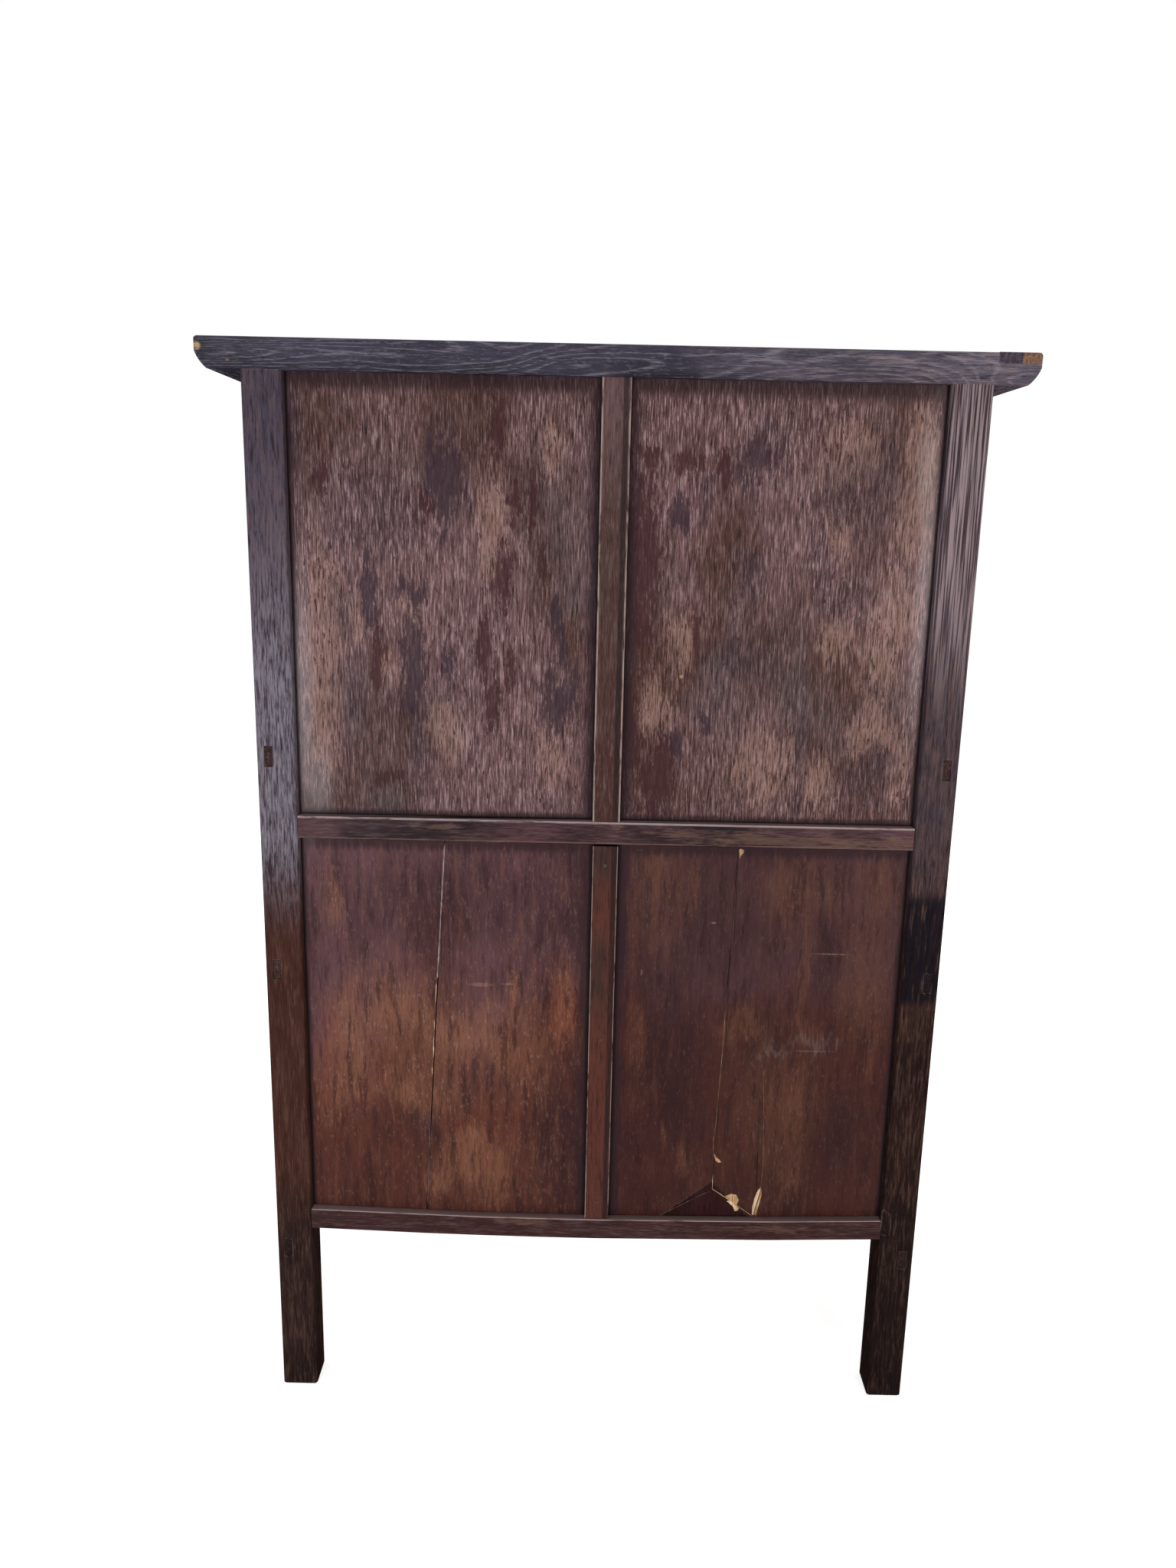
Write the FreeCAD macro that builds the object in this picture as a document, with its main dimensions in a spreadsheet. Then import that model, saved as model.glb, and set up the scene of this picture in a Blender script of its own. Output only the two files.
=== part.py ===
import FreeCAD, Part
import os
import re

import Sketcher
from FreeCAD import Placement, Rotation, Vector

# Driving sizes in millimetres.
# X runs to the cabinet's right as its front is faced, Y to its back and Z up from the floor.
SIZES = {
    # Body, posts and the clearance of every glued or dry fit
    "total_height": 1700,
    "body_width": 1062,
    "body_depth": 520,
    "fit_clearance": 0.2,
    "post_width": 58,
    "post_arris_radius": 5,
    "foot_chamfer": 3,
    "post_tenon_width": 16,
    "post_tenon_length": 24,
    # Cap: a mitred frame with a moulded edge round a floating panel
    "cap_thickness": 42,
    "cap_side_overhang": 59,
    "cap_front_overhang": 40,
    "cap_back_overhang": 12,
    "cap_member_width": 100,
    "cap_edge_height": 20,
    "cap_undercut": 12,
    "cap_arris_radius": 5,
    "cap_lap_width": 60,
    "cap_lap_height": 15,
    "cap_tenon_width": 24,
    "cap_tenon_thickness": 10,
    "cap_tenon_reach": 24,
    "cap_panel_thickness": 16,
    "cap_tongue_thickness": 8,
    "cap_tongue_depth": 8,
    "cap_batten_width": 34,
    "cap_batten_height": 20,
    "cap_batten_gap": 326,
    "cap_batten_tenon": 10,
    # Rails: levels are those of their undersides
    "rail_height": 35,
    "rail_thickness": 34,
    "front_rail_recess": 2,
    "bottom_rail_level": 303,
    "mid_rail_level": 976,
    "display_rail_level": 1085,
    "rail_sag": 9,
    "side_bottom_level": 248,
    "side_shelf_level": 742,
    "side_rail_thickness": 30,
    "side_rail_recess": 3,
    "tenon_thickness": 12,
    "tenon_length": 20,
    "tenon_shoulder": 1.5,
    "tenon_end_gap": 0.6,
    # Back and side panels, the centre stile and the nailed batten
    "panel_thickness": 10,
    "groove_depth": 7,
    "back_panel_recess": 16,
    "side_panel_recess": 9,
    "stile_width": 42,
    "stile_tenon_width": 24,
    "stile_tenon_length": 15,
    "batten_width": 39,
    "batten_thickness": 13,
    "batten_gap": 4,
    "batten_lift": 0.5,
    "nail_head_radius": 3.2,
    "nail_head_thickness": 1.2,
    "nail_shank_width": 2.6,
    "nail_shank_length": 20,
    "nail_inset": 31,
    # Board joints of the back, measured from the centre line, and the widths of the open ones
    "left_near_joint_top": 126,
    "left_near_joint_foot": 131,
    "left_mid_joint_top": 271,
    "left_mid_joint_foot": 290,
    "left_far_joint_top": 355,
    "left_far_joint_foot": 372,
    "right_near_joint_top": 206,
    "right_near_joint_foot": 199,
    "right_far_joint_top": 403,
    "right_far_joint_foot": 396,
    "upper_joint_gap": 0.3,
    "centre_joint_gap": 0.6,
    "crack_top": 248,
    "crack_foot": 283,
    "crack_gap": 1.8,
    "split_top": 206,
    "split_foot": 191,
    "split_gap": 0.9,
    "break_height": 58,
    "break_inner": 98,
    "break_outer": 261,
    "break_sink": 2,
    "shake_height": 272,
    "shake_reach": 267,
    "shake_lean": 8,
    "shake_width": 1.4,
    # Boards inside
    "floor_thickness": 14,
    "floor_lift": 6,
    "floor_tongue": 6,
    "shelf_setback": 14,
    "board_clearance": 0.5,
    # Doors on wooden pivots
    "door_thickness": 24,
    "door_recess": 4,
    "door_side_gap": 1,
    "door_end_gap": 2,
    "door_centre_gap": 2,
    "door_stile_width": 52,
    "door_rail_width": 52,
    "door_tenon_length": 30,
    "door_tenon_thickness": 8,
    "door_tenon_shoulder": 8,
    "door_panel_thickness": 12,
    "door_panel_recess": 6,
    "door_tongue_thickness": 6,
    "door_field_margin": 10,
    "pivot_radius": 8,
    "pivot_length": 14,
    "pivot_clearance": 0.05,
    "pivot_end_gap": 0.5,
    # Drawers and what carries them
    "divider_width": 40,
    "divider_thickness": 20,
    "divider_tenon": 8,
    "drawer_gap": 1,
    "drawer_front_thickness": 20,
    "drawer_side_thickness": 10,
    "drawer_bottom_thickness": 7,
    "drawer_bottom_lift": 6,
    "drawer_bottom_groove": 5,
    "drawer_length": 410,
    "drawer_top_gap": 8,
    "runner_width": 40,
    "runner_thickness": 18,
    "runner_tenon": 8,
    "guide_height": 24,
    "running_clearance": 0.3,
    # Open display front: arch and railing
    "arch_thickness": 14,
    "arch_recess": 8,
    "arch_head_height": 70,
    "arch_strip_width": 36,
    "arch_corner_radius": 30,
    "arch_step_length": 22,
    "arch_step_radius": 12,
    "railing_height": 78,
    "railing_bar_height": 14,
    "railing_post_width": 10,
    # Front apron
    "apron_thickness": 14,
    "apron_recess": 6,
    "apron_height": 46,
    "apron_bracket_height": 128,
    "apron_bracket_width": 26,
    "apron_curve_width": 96,
    "apron_drop": 16,
    "apron_drop_width": 64,
    "apron_drop_tip": 8,
    # Brass pulls
    "plate_reach": 24,
    "plate_cusp": 15,
    "plate_thickness": 2,
    "bail_standoff": 6,
    "bail_rise": 8,
    "bail_half_width": 19,
    "bail_leg": 17,
    "bail_bar_width": 5,
    "bail_thickness": 4,
    "bail_pin_radius": 2,
    "bail_pin_clearance": 0.05,
    "bail_pin_length": 8,
    "ear_centre": 13,
    "ear_width": 5,
    "ear_height": 9,
    "ear_lip": 4,
}

# Places that follow from the driving sizes
PLACES = {
    "post_height": "=total_height - cap_thickness",
    "half_width": "=body_width / 2",
    "post_inner": "=half_width - post_width",
    "cap_half_width": "=half_width + cap_side_overhang",
    "cap_half_depth": "=(body_depth + cap_front_overhang + cap_back_overhang) / 2",
    "back_face": "=cap_half_depth - cap_back_overhang",
    "front_face": "=back_face - body_depth",
    "front_inner": "=front_face + post_width",
    "back_inner": "=back_face - post_width",
    "front_rail_face": "=front_face + front_rail_recess",
    "front_rail_back": "=front_rail_face + rail_thickness",
    "back_rail_front": "=back_face - rail_thickness",
    "back_panel_face": "=back_face - back_panel_recess",
    "back_panel_front": "=back_panel_face - panel_thickness",
    "side_panel_face": "=half_width - side_rail_recess - side_panel_recess",
    "side_panel_inner": "=side_panel_face - panel_thickness",
    "bottom_rail_top": "=bottom_rail_level + rail_height",
    "mid_rail_top": "=mid_rail_level + rail_height",
    "display_rail_top": "=display_rail_level + rail_height",
    "panel_foot": "=bottom_rail_top - rail_sag - groove_depth",
    "panel_head": "=mid_rail_level + groove_depth",
    "panel_edge": "=post_inner + groove_depth",
    "door_face": "=front_face + door_recess",
    "door_back": "=door_face + door_thickness",
    "door_low": "=bottom_rail_top + door_end_gap",
    "door_high": "=mid_rail_level - door_end_gap",
    "pivot_x": "=post_inner - door_side_gap - door_thickness / 2",
    "pivot_y": "=door_face + door_thickness / 2",
    "door_outer": "=pivot_x + door_thickness / 2",
    "door_inner": "=door_centre_gap / 2",
    "drawer_inner": "=divider_width / 2 + drawer_gap",
    "drawer_outer": "=post_inner - drawer_gap",
    "drawer_low": "=mid_rail_top + running_clearance",
    "drawer_back": "=door_face + drawer_front_thickness + drawer_length",
}

SIDES = {"left": -1, "right": 1}
AXES = "xyz"
PLANE_AXIS = {"XY": "z", "XZ": "y", "YZ": "x"}
TURN_TO_FRONT = Rotation(Vector(1, 0, 0), 90)
TURN_TO_RIGHT = Rotation(Vector(0, 1, 0), 90)
NAIL_COUNT = 3
FORGED_SIDE_COUNT = 8
RAILING_POSTS = 7
ARC_MIDDLE = 0.5 ** 0.5
SLANT_MIDDLE = 0.58
DROP_BOW_ACROSS = 0.6
DROP_BOW_DOWN = 0.4

doc = FreeCAD.newDocument("display_cabinet")
sheet = doc.addObject("Spreadsheet::Sheet", "sizes")
pieces = {}
seats = {}


# The size sheet and formulas


def fill_sheet():
    """Write every size and place as one row: its name, then its aliased cell."""
    for row, (name, content) in enumerate({**SIZES, **PLACES}.items(), start=1):
        sheet.set(f"A{row}", name)
        sheet.set(f"B{row}", str(content))
        sheet.setAlias(f"B{row}", name)
    doc.recompute()


def formula(text):
    """Turn the plain words of a formula into references to the size sheet."""
    return re.sub(r"[a-z][a-z_]*", lambda word: f"sizes.{word.group()}", text)


def value(text):
    """Present value of a formula, for the first shape of a sketch."""
    return float(sheet.evalExpression(formula(text)))


def bind(item, prop, text):
    """Tie a property to a formula of sheet sizes."""
    item.setExpression(prop, formula(text))


def move(item, x, y, z):
    """Tie an object's position to three formulas."""
    for axis, text in zip(AXES, (x, y, z)):
        bind(item, f"Placement.Base.{axis}", text)


def on_side(span, sign):
    """A span of formulas on the right side, or its mirror image on the left."""
    low, high = span
    return span if sign > 0 else (f"-({high})", f"-({low})")


def at_side(text, sign):
    """One formula on the right side, or its mirror image."""
    return text if sign > 0 else f"-({text})"


def both_ways(text):
    """The span that reaches equally far to both sides of the centre."""
    return f"-({text})", text


def about(centre, width):
    """The span of a width about a centre."""
    return f"({centre}) - ({width}) / 2", f"({centre}) + ({width}) / 2"


def middle(span, width):
    """The span of a width in the middle of another span."""
    return about(f"(({span[0]}) + ({span[1]})) / 2", width)


def inset(span, amount):
    """A span shortened at both ends."""
    return f"({span[0]}) + ({amount})", f"({span[1]}) - ({amount})"


def grown(span, amount="fit_clearance"):
    """A span lengthened at both ends."""
    return f"({span[0]}) - ({amount})", f"({span[1]}) + ({amount})"


# Solids


def block(name, x, y, z):
    """A box between three pairs of formulas."""
    item = doc.addObject("Part::Box", name)
    for prop, (low, high) in zip(("Length", "Width", "Height"), (x, y, z)):
        bind(item, prop, f"({high}) - ({low})")
    move(item, x[0], y[0], z[0])
    return item


def rod(name, radius, length, turn, x, y, z):
    """A cylinder, turned from upright and placed at the middle of its first end."""
    item = doc.addObject("Part::Cylinder", name)
    item.Placement = Placement(Vector(), turn)
    bind(item, "Radius", radius)
    bind(item, "Height", length)
    move(item, x, y, z)
    return item


def forged_rod(name, radius, length, turn, x, y, z):
    """A hammered rod with flats round it, placed as a round one is."""
    item = doc.addObject("Part::Prism", name)
    item.Placement = Placement(Vector(), turn)
    item.Polygon = FORGED_SIDE_COUNT
    bind(item, "Circumradius", radius)
    bind(item, "Height", length)
    move(item, x, y, z)
    return item


def draw(sketch, corners):
    """Closed outline through corners, each a pair of formulas. Two more formulas name a point that
    the stretch to the next corner passes through as an arc."""
    count = len(corners)
    points = [Vector(value(corner[0]), value(corner[1]), 0) for corner in corners]
    begins = []
    ends = []
    fixed = []
    rules = []
    for index, corner in enumerate(corners):
        start = points[index]
        stop = points[(index + 1) % count]
        if len(corner) == 2:
            sketch.addGeometry(Part.LineSegment(start, stop))
            forward = True
        else:
            through = Vector(value(corner[2]), value(corner[3]), 0)
            forward = (through - start).cross(stop - through).z > 0
            arc_ends = (start, stop) if forward else (stop, start)
            sketch.addGeometry(Part.Arc(arc_ends[0], through, arc_ends[1]))
        begins.append(1 if forward else 2)
        ends.append(2 if forward else 1)
    for index, corner in enumerate(corners):
        after = (index + 1) % count
        rules.append(Sketcher.Constraint("Coincident", index, ends[index], after, begins[after]))
        fixed.append((index, begins[index], corner[0], corner[1]))
        if len(corner) == 4:
            through = Vector(value(corner[2]), value(corner[3]), 0)
            mark = sketch.addGeometry(Part.Point(through), True)
            rules.append(Sketcher.Constraint("PointOnObject", mark, 1, index))
            fixed.append((mark, 1, corner[2], corner[3]))
    sketch.addConstraint(rules)
    for geometry, end, across, up in fixed:
        for kind, text in (("DistanceX", across), ("DistanceY", up)):
            rule = sketch.addConstraint(Sketcher.Constraint(kind, -1, 1, geometry, end, value(text)))
            bind(sketch, f"Constraints[{rule}]", text)


def prism(name, plane, span, corners):
    """Pad an outline on one of the body's planes, over a span of the axis square to it."""
    body = doc.addObject("PartDesign::Body", name)
    base = next(item for item in body.Origin.OriginFeatures if item.Role == f"{plane}_Plane")
    sketch = body.newObject("Sketcher::SketchObject", f"{name}_outline")
    sketch.AttachmentSupport = [(base, "")]
    sketch.MapMode = "FlatFace"
    draw(sketch, corners)
    pad = body.newObject("PartDesign::Pad", f"{name}_pad")
    pad.Profile = sketch
    pad.Reversed = plane == "XZ"
    bind(pad, "Length", f"({span[1]}) - ({span[0]})")
    bind(body, f"Placement.Base.{PLANE_AXIS[plane]}", span[0])
    return body


def combine(kind, name, solids):
    """Fuse or group several solids; a single one stays as it is."""
    if len(solids) == 1:
        return solids[0]
    item = doc.addObject(kind, name)
    if kind == "Part::Compound":
        item.Links = solids
    else:
        item.Shapes = solids
        item.Refine = True
    return item


def fuse(name, *solids):
    return combine("Part::MultiFuse", name, solids)


def group(name, *solids):
    return combine("Part::Compound", name, solids)


def common(name, first, second):
    """What two solids share."""
    item = doc.addObject("Part::Common", name)
    item.Base = first
    item.Tool = second
    return item


def seat(tool, *labels):
    """Note that a tool is to be cut from the named pieces, as the seat of what enters them."""
    for label in labels:
        seats.setdefault(label, []).append(tool)


def box_seat(name, x, y, z, *labels):
    """Seat of a square-edged tongue or tenon, with the fit clearance all round."""
    seat(block(name, grown(x), grown(y), grown(z)), *labels)


# Posts and cap


def rounded_square(half, radius):
    """Corners of a square with rounded arrises, about its own centre."""
    bow = f"({half}) - ({radius}) * (1 - {ARC_MIDDLE})"
    flat = f"({half}) - ({radius})"
    corners = []
    turns = ((half, flat, 1, 1), (flat, half, -1, 1), (half, flat, -1, -1), (flat, half, 1, -1))
    for across, up, side, rise in turns:
        first = (at_side(across, side), at_side(up, rise))
        second = (at_side(up, side), at_side(across, rise))
        corners.append((*first, at_side(bow, side), at_side(bow, rise)))
        corners.append(second)
    return corners


def make_post(label, x_sign, centre_y):
    """Square leg post with rounded arrises, a worn foot and a tenon for the cap."""
    centre_x = at_side("half_width - post_width / 2", x_sign)
    section = rounded_square("post_width / 2", "post_arris_radius")
    body = prism(f"{label}_shaft", "XY", ("0", "post_height"), section)
    bind(body, "Placement.Base.x", centre_x)
    bind(body, "Placement.Base.y", centre_y)
    doc.recompute()
    shaft = body.Tip
    foot_edges = []
    for number, edge in enumerate(shaft.Shape.Edges, start=1):
        if edge.BoundBox.ZMax < value("foot_chamfer") / 2:
            foot_edges.append(f"Edge{number}")
    chamfer = body.newObject("PartDesign::Chamfer", f"{label}_foot")
    chamfer.Base = (shaft, foot_edges)
    bind(chamfer, "Size", "foot_chamfer")
    tenon_x = about(centre_x, "post_tenon_width")
    tenon_y = about(centre_y, "post_tenon_width")
    tenon_z = ("post_height", "post_height + post_tenon_length")
    tenon = block(f"{label}_tenon", tenon_x, tenon_y, tenon_z)
    pieces[label] = fuse(f"{label}_solid", body, tenon)
    end = "back" if "back" in label else "front"
    side = "right" if x_sign > 0 else "left"
    box_seat(f"{label}_mortise", tenon_x, tenon_y, tenon_z, f"cap_{end}_member", f"cap_{side}_member")


def make_posts():
    for side, sign in SIDES.items():
        make_post(f"post_back_{side}", sign, "back_face - post_width / 2")
        make_post(f"post_front_{side}", sign, "front_face + post_width / 2")


def cap_profile(edge, sign):
    """Section of a cap member: plumb above at its outer edge, and slanting in with a shallow bow below."""
    inner = f"({edge}) - cap_member_width"
    low_edge = f"({edge}) - cap_undercut"
    bow = f"({edge}) - cap_undercut * (1 - {SLANT_MIDDLE})"
    bow_height = f"post_height + (cap_thickness - cap_edge_height) * (1 - {SLANT_MIDDLE})"
    arris = f"({edge}) - cap_arris_radius"
    arris_bow = f"({edge}) - cap_arris_radius * (1 - {ARC_MIDDLE})"
    arris_height = f"total_height - cap_arris_radius * (1 - {ARC_MIDDLE})"
    outline = [
        (inner, "post_height"),
        (low_edge, "post_height", bow, bow_height),
        (edge, "total_height - cap_edge_height"),
        (edge, "total_height - cap_arris_radius", arris_bow, arris_height),
        (arris, "total_height"),
        (inner, "total_height"),
    ]
    corners = []
    for point in outline:
        mirrored = [at_side(text, sign) if place % 2 == 0 else text for place, text in enumerate(point)]
        corners.append(tuple(mirrored))
    return corners


def mitre_plan(long_edge, short_edge, sign, along_x):
    """Plan of a cap member: a trapezium with its mitres at 45 degrees."""
    outer = [(f"-({long_edge})", short_edge), (long_edge, short_edge)]
    reach = f"({long_edge}) - cap_member_width"
    depth = f"({short_edge}) - cap_member_width"
    plan = outer + [(reach, depth), (f"-({reach})", depth)]
    plan = [(run, at_side(out, sign)) for run, out in plan]
    return plan if along_x else [(out, run) for run, out in plan]


def make_cap_member(label, along_x, sign, extra=()):
    """Moulded bar cut to its mitred plan, with any tongues that run past the mitre."""
    width = "cap_half_width"
    depth = "cap_half_depth"
    edge, length, plane = (depth, width, "YZ") if along_x else (width, depth, "XZ")
    bar = prism(f"{label}_bar", plane, both_ways(length), cap_profile(edge, sign))
    height = ("post_height - fit_clearance", "total_height + fit_clearance")
    plan = prism(f"{label}_plan", "XY", height, mitre_plan(length, edge, sign, along_x))
    return common(f"{label}_solid", bar, fuse(f"{label}_outline", plan, *extra))


def make_cap():
    """Mitred frame, floating panel and battens. One side member laps over the back member."""
    lap_x = ("-cap_half_width", "cap_lap_width - cap_half_width")
    lap_y = ("cap_half_depth - cap_member_width", "cap_half_depth + fit_clearance")
    lap_z = ("total_height - cap_lap_height", "total_height + fit_clearance")
    lap = block("cap_lap", lap_x, lap_y, lap_z)
    box_seat("cap_lap_seat", lap_x, lap_y, lap_z, "cap_back_member")
    for end, sign in (("front", -1), ("back", 1)):
        pieces[f"cap_{end}_member"] = make_cap_member(f"cap_{end}_member", True, sign)
    for side, sign in SIDES.items():
        label = f"cap_{side}_member"
        tongues = []
        for end, end_sign in (("front", -1), ("back", 1)):
            if side == "left" and end == "back":
                continue
            x = on_side(about("cap_half_width - cap_member_width / 2", "cap_tenon_width"), sign)
            tip = "cap_half_depth - cap_member_width / 2 + cap_tenon_reach"
            y = on_side(("cap_half_depth - cap_member_width", tip), end_sign)
            z = about("total_height - cap_thickness / 2", "cap_tenon_thickness")
            tongues.append(block(f"{label}_{end}_tenon", x, y, z))
            box_seat(f"{label}_{end}_mortise", x, y, z, f"cap_{end}_member")
        if side == "left":
            tongues.append(lap)
        pieces[label] = make_cap_member(label, False, sign, tongues)
    make_cap_panel()


def make_cap_panel():
    members = [f"cap_{place}_member" for place in ("front", "back", "left", "right")]
    x = both_ways("cap_half_width - cap_member_width - fit_clearance")
    y = both_ways("cap_half_depth - cap_member_width - fit_clearance")
    under = "total_height - cap_panel_thickness"
    field = block("cap_panel_field", x, y, (under, "total_height"))
    tongue_x = grown(x, "cap_tongue_depth")
    tongue_y = grown(y, "cap_tongue_depth")
    tongue_z = (under, f"{under} + cap_tongue_thickness")
    tongue = block("cap_panel_tongue", tongue_x, tongue_y, tongue_z)
    pieces["cap_panel"] = fuse("cap_panel_solid", field, tongue)
    box_seat("cap_panel_groove", tongue_x, tongue_y, tongue_z, *members)
    battens = []
    for side, sign in SIDES.items():
        batten_x = about(at_side("(cap_batten_gap + cap_batten_width) / 2", sign), "cap_batten_width")
        batten_y = both_ways("cap_half_depth - cap_member_width + cap_batten_tenon")
        batten_z = (f"{under} - cap_batten_height", under)
        battens.append(block(f"cap_batten_{side}", batten_x, batten_y, batten_z))
        box_seat(f"cap_batten_{side}_mortise", batten_x, batten_y, batten_z, *members[:2])
    pieces["cap_battens"] = group("cap_battens_pair", *battens)


# Rails


def make_cross_rail(label, bar, y, z, end):
    """Finish a rail between the left and right posts with its two stub tenons."""
    solids = [bar]
    tenon_y = middle(y, "tenon_thickness")
    tenon_z = inset(z, "tenon_shoulder")
    for side, sign in SIDES.items():
        tenon_x = on_side(("post_inner - tenon_length", "post_inner + tenon_length"), sign)
        solids.append(block(f"{label}_{side}_tenon", tenon_x, tenon_y, tenon_z))
        mortise_x = on_side(("post_inner", "post_inner + tenon_length"), sign)
        box_seat(f"{label}_{side}_mortise", mortise_x, tenon_y, tenon_z, f"post_{end}_{side}")
    pieces[label] = fuse(f"{label}_solid", *solids)


def make_front_rails():
    y = ("front_rail_face", "front_rail_back")
    for place in ("bottom", "mid", "display"):
        label = "front_drawer_rail" if place == "mid" else f"front_{place}_rail"
        z = (f"{place}_rail_level", f"{place}_rail_top")
        bar = block(f"{label}_bar", both_ways("post_inner"), y, z)
        make_cross_rail(label, bar, y, z, "front")


def make_back_rails():
    """Straight mid rail and a bottom rail that sags in the middle."""
    y = ("back_rail_front", "back_face")
    mid_z = ("mid_rail_level", "mid_rail_top")
    bar = block("back_mid_rail_bar", both_ways("post_inner"), y, mid_z)
    make_cross_rail("back_mid_rail", bar, y, mid_z, "back")
    low = "bottom_rail_level"
    high = "bottom_rail_top"
    sagging = [
        ("-post_inner", low, "0", f"{low} - rail_sag"),
        ("post_inner", low),
        ("post_inner", high, "0", f"{high} - rail_sag"),
        ("-post_inner", high),
    ]
    bar = prism("back_bottom_rail_bar", "XZ", y, sagging)
    make_cross_rail("back_bottom_rail", bar, y, (low, high), "back")


def make_side_rails():
    """Three pairs of side rails. Their back tenons pass through the back posts and show there."""
    levels = {"bottom": "side_bottom_level", "shelf": "side_shelf_level", "display": "display_rail_level"}
    for place, level in levels.items():
        rails = []
        for side, sign in SIDES.items():
            name = f"side_{place}_rail_{side}"
            face = "half_width - side_rail_recess"
            x = on_side((f"{face} - side_rail_thickness", face), sign)
            z = (level, f"{level} + rail_height")
            bar = block(f"{name}_bar", x, ("front_inner", "back_inner"), z)
            tenon_x = middle(x, "tenon_thickness")
            tenon_z = inset(z, "tenon_shoulder")
            tenon_y = ("front_inner - tenon_length", "back_face - tenon_end_gap")
            tenon = block(f"{name}_tenon", tenon_x, tenon_y, tenon_z)
            rails.append(fuse(name, bar, tenon))
            mortise_y = ("front_inner - tenon_length", "back_face")
            posts = [f"post_{end}_{side}" for end in ("front", "back")]
            box_seat(f"{name}_mortise", tenon_x, mortise_y, tenon_z, *posts)
        pieces[f"side_{place}_rails"] = group(f"side_{place}_rails_pair", *rails)


# Panels


def make_side_panels():
    """Three pairs of panels, held in the grooves of posts, side rails and cap."""
    bands = {
        "lower": ("side_bottom_level + rail_height", "side_shelf_level", ("bottom", "shelf")),
        "middle": ("side_shelf_level + rail_height", "display_rail_level", ("shelf", "display")),
        "upper": ("display_rail_top", "post_height", ("display",)),
    }
    for band, (low, high, levels) in bands.items():
        rails = [f"side_{level}_rails" for level in levels]
        panels = []
        for side, sign in SIDES.items():
            name = f"side_{band}_panel_{side}"
            x = on_side(("side_panel_inner", "side_panel_face"), sign)
            y = grown(("front_inner", "back_inner"), "groove_depth")
            z = grown((low, high), "groove_depth")
            panels.append(block(name, x, y, z))
            posts = [f"post_{end}_{side}" for end in ("front", "back")]
            caps = [f"cap_{place}_member" for place in ("front", "back", side)]
            box_seat(f"{name}_groove", x, y, z, *posts, *caps, *rails)
        pieces[f"side_{band}_panels"] = group(f"side_{band}_panels_pair", *panels)


def make_upper_back():
    """Centre stile and the grooves and boards of the two upper panels."""
    y = ("back_panel_front", "back_panel_face")
    z = ("mid_rail_top - groove_depth", "post_height + groove_depth")
    stile_y = ("back_rail_front", "back_face")
    stile = block("back_stile_bar", both_ways("stile_width / 2"), stile_y, ("mid_rail_top", "post_height"))
    tenon_x = both_ways("stile_tenon_width / 2")
    tenon_y = middle(stile_y, "tenon_thickness")
    tenon_z = grown(("mid_rail_top", "post_height"), "stile_tenon_length")
    tenon = block("back_stile_tenon", tenon_x, tenon_y, tenon_z)
    pieces["back_upper_stile"] = fuse("back_stile_solid", stile, tenon)
    box_seat("back_stile_mortise", tenon_x, tenon_y, tenon_z, "back_mid_rail", "cap_back_member")
    inner = "stile_width / 2 - groove_depth"
    for side, sign in SIDES.items():
        x = on_side((inner, "panel_edge"), sign)
        holders = [f"post_back_{side}", "back_mid_rail", "back_upper_stile", "cap_back_member"]
        box_seat(f"back_upper_{side}_groove", x, y, z, *holders)
        make_upper_boards(side, sign, inner, y, z)


def make_upper_boards(side, sign, inner, y, z):
    """Boards of one upper panel, whose joints slant a little from top to foot."""
    places = ("near", "far") if side == "right" else ("near", "mid", "far")
    joints = [(f"{side}_{place}_joint_top", f"{side}_{place}_joint_foot") for place in places]
    starts = [(inner, inner)]
    for top, foot in joints:
        starts.append((f"{top} + upper_joint_gap", f"{foot} + upper_joint_gap"))
    stops = joints + [("panel_edge", "panel_edge")]
    boards = []
    for number, ((top, foot), (next_top, next_foot)) in enumerate(zip(starts, stops), start=1):
        outline = [(foot, z[0]), (next_foot, z[0]), (next_top, z[1]), (top, z[1])]
        corners = [(at_side(across, sign), up) for across, up in outline]
        boards.append(prism(f"back_upper_{side}_board_{number}", "XZ", y, corners))
    pieces[f"back_upper_panel_{side}"] = group(f"back_upper_{side}_boards", *boards)


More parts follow.
